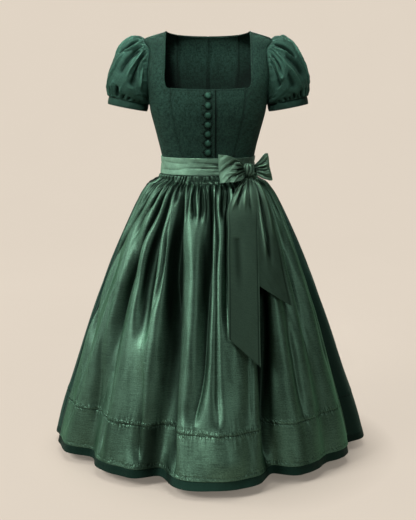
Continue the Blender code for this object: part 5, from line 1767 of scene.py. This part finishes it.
def make_sweep(looks):
    """Pale floor that sweeps up into a wall: lit near the dress, with an even glow further off."""
    floor_z = HEM_Z - looks.floor_drop
    deselect()
    bpy.ops.mesh.primitive_plane_add(size=1.0)
    floor = bpy.context.object
    floor.name = "studio_sweep"
    angles = [math.radians(angle) for angle in range(6, 91, 6)]
    bend = [(BEND_Y + BEND_RADIUS * math.sin(a), BEND_RADIUS - BEND_RADIUS * math.cos(a)) for a in angles]
    profile = [(FLOOR_FRONT_Y, 0.0), (BEND_Y, 0.0)] + bend + [(BEND_Y + BEND_RADIUS, WALL_HEIGHT)]
    points = [(x, y, floor_z + z) for x in (-SWEEP_HALF_WIDTH, SWEEP_HALF_WIDTH) for y, z in profile]
    count = len(profile)
    faces = [(count + k, count + k + 1, k + 1, k) for k in range(count - 1)]
    mesh = bpy.data.meshes.new("studio_sweep")
    mesh.from_pydata(points, [], faces)
    mesh.shade_smooth()
    floor.data = mesh
    finish = Finish("studio_paper")
    grain = finish.grain(3.0, 3.0)
    colour = looks.paper_colour
    paper = finish.mix(grain, toned(colour, 0.99), toned(colour, 1.01))
    away = finish.add("ShaderNodeVectorMath", {"operation": "LENGTH"}, {0: finish.place()}, 1) * GLOW_SCALE
    glow = finish.ramp(away, [(GLOW_START, 0.22), (GLOW_END, 0.95), (1.0, 1.0)])
    beyond = finish.ramp(away, [(GLOW_START, 0.0), (GLOW_END, 1.0)])
    finish.shade(base_color=finish.mix(beyond, toned(colour, 0.56), toned(colour, 0.06)),
                 emission_color=finish.mix(glow, (0.0, 0.0, 0.0, 1.0), paper), emission_strength=PAPER_GLOW,
                 roughness=1.0, specular_ior_level=0.0)
    mesh.materials.append(finish.material)


def make_stage(looks):
    """Backdrop, soft boxes and camera."""
    make_sweep(looks)
    world = bpy.data.worlds.new("studio_air")
    bpy.context.scene.world = world
    world.use_nodes = True
    back = world.node_tree.nodes["Background"]
    back.inputs[0].default_value = AIR_COLOUR
    back.inputs[1].default_value = looks.air_light
    for name, place, target, width, height in SOFT_BOXES:
        light = soft_box(name + "_box", place, target, width, height, getattr(looks, name + "_power"))
        if name == "front":
            light.spread = FRONT_SPREAD

    camera = bpy.data.cameras.new("camera")
    camera.lens = CAMERA_LENS
    camera.sensor_width = 36.0
    camera.sensor_fit = "AUTO"
    obj = linked(camera)
    obj.location = CAMERA_PLACE
    obj.rotation_euler = (math.pi / 2 - CAMERA_TILT, 0.0, 0.0)
    bpy.context.scene.camera = obj
    bpy.context.scene.view_settings.view_transform = "Standard"


# Add-on -------------------------------------------------------------------------------------

def colour_property(name, description, default):
    """A colour that a user may change."""
    return FloatVectorProperty(name=name, description=description, subtype="COLOR", size=3,
                               min=0.0, max=1.0, default=default)


def power_property(name, description, default):
    """The power of a light that a user may change."""
    return FloatProperty(name=name, description=description, default=default, min=0.0, max=1000.0,
                         unit="POWER")


class DIRNDL_PG_looks(PropertyGroup):
    """Colours and sizes of the dress's looks and of its studio."""

    bodice_colour: colour_property("Bodice", "Colour of the wool-like cloth", (0.0077, 0.0203, 0.0144))
    sleeve_colour: colour_property("Sleeves", "Colour of sleeves and cuffs", (0.0280, 0.0705, 0.0512))
    button_colour: colour_property("Buttons", "Colour of the covered buttons", (0.0180, 0.0500, 0.0350))
    # the skirt's colour is made SKIRT_TONE times lighter than the cloth; painted shade brings it back down,
    # except where painted light falls
    skirt_colour: colour_property("Skirt", "Colour of the skirt", (0.0275, 0.0770, 0.0560))
    # the apron's colour is made APRON_TONE times lighter than the cloth; painted shade brings it back down,
    # except where painted light falls
    apron_colour: colour_property("Apron", "Colour of the satin apron", (0.0910, 0.1778, 0.1218))
    ribbon_colour: colour_property("Ribbon", "Colour of band and bow", (0.073, 0.134, 0.092))
    paper_colour: colour_property("Backdrop", "Colour of floor and wall", (0.76, 0.67, 0.565))
    wool_speckle: FloatProperty(name="Wool mottle", description="How uneven the wool's colour is",
                                default=0.50, min=0.0, max=0.8, subtype="FACTOR")
    floor_drop: FloatProperty(name="Floor drop", description="Gap between hem and floor", default=0.023,
                              min=0.0, max=0.5, unit="LENGTH", subtype="DISTANCE")
    air_light: FloatProperty(name="Air light", description="Strength of the light from all round",
                             default=0.03, min=0.0, max=5.0, subtype="UNSIGNED")
    key_power: power_property("Key light", "Power of the main soft box", 215.0)
    side_power: power_property("Side light", "Power of the soft box at the side", 35.0)
    front_power: power_property("Front light", "Power of the soft box above the camera", 3.1)
    top_power: power_property("Top light", "Power of the soft box overhead", 72.0)
    fill_power: power_property("Fill light", "Power of the weaker soft box", 34.0)


class DIRNDL_OT_bodice(Operator):
    """Make the eight bodice pieces"""

    bl_idname = "dirndl.bodice"
    bl_label = "Bodice"

    def execute(self, context):
        make_bodice(context.scene.dirndl)
        return {"FINISHED"}


class DIRNDL_OT_sleeves(Operator):
    """Make the puff sleeves and their cuffs"""

    bl_idname = "dirndl.sleeves"
    bl_label = "Sleeves"

    def execute(self, context):
        make_sleeves(context.scene.dirndl)
        return {"FINISHED"}


class DIRNDL_OT_buttons(Operator):
    """Make the covered buttons and their buttonholes"""

    bl_idname = "dirndl.buttons"
    bl_label = "Buttons"

    def execute(self, context):
        make_buttons(context.scene.dirndl)
        return {"FINISHED"}


class DIRNDL_OT_skirt(Operator):
    """Make the skirt's front and back"""

    bl_idname = "dirndl.skirt"
    bl_label = "Skirt"

    def execute(self, context):
        make_skirt(context.scene.dirndl)
        return {"FINISHED"}


class DIRNDL_OT_apron(Operator):
    """Make the gathered satin apron"""

    bl_idname = "dirndl.apron"
    bl_label = "Apron"

    def execute(self, context):
        make_apron(context.scene.dirndl)
        return {"FINISHED"}


class DIRNDL_OT_ribbon(Operator):
    """Make the apron's band and its bow"""

    bl_idname = "dirndl.ribbon"
    bl_label = "Band and Bow"

    def execute(self, context):
        make_band(context.scene.dirndl)
        make_bow(context.scene.dirndl)
        return {"FINISHED"}


class DIRNDL_OT_studio(Operator):
    """Make the floor, the soft boxes and the camera"""

    bl_idname = "dirndl.studio"
    bl_label = "Studio"

    def execute(self, context):
        make_stage(context.scene.dirndl)
        return {"FINISHED"}


class DIRNDL_PT_panel(Panel):
    """Lists the steps of the dress in the sidebar"""

    bl_idname = "DIRNDL_PT_panel"
    bl_label = "Dirndl Dress"
    bl_space_type = "VIEW_3D"
    bl_region_type = "UI"
    bl_category = "Dirndl"

    def draw(self, context):
        for step in STEPS:
            self.layout.operator(step.bl_idname)
        for key in DIRNDL_PG_looks.__annotations__:
            self.layout.prop(context.scene.dirndl, key)


STEPS = (DIRNDL_OT_bodice, DIRNDL_OT_sleeves, DIRNDL_OT_buttons, DIRNDL_OT_skirt, DIRNDL_OT_apron,
         DIRNDL_OT_ribbon, DIRNDL_OT_studio)


def register():
    """Registers the add-on's classes."""
    for part in (DIRNDL_PG_looks,) + STEPS + (DIRNDL_PT_panel,):
        bpy.utils.register_class(part)
    bpy.types.Scene.dirndl = PointerProperty(type=DIRNDL_PG_looks)


def unregister():
    """Takes the add-on's classes away again."""
    del bpy.types.Scene.dirndl
    for part in ((DIRNDL_PG_looks,) + STEPS + (DIRNDL_PT_panel,))[::-1]:
        bpy.utils.unregister_class(part)


def main():
    """Makes every piece in order, after registering the add-on."""
    register()
    bpy.ops.dirndl.bodice()
    bpy.ops.dirndl.sleeves()
    bpy.ops.dirndl.buttons()
    bpy.ops.dirndl.skirt()
    bpy.ops.dirndl.apron()
    bpy.ops.dirndl.ribbon()
    bpy.ops.dirndl.studio()


if __name__ == "__main__":
    main()
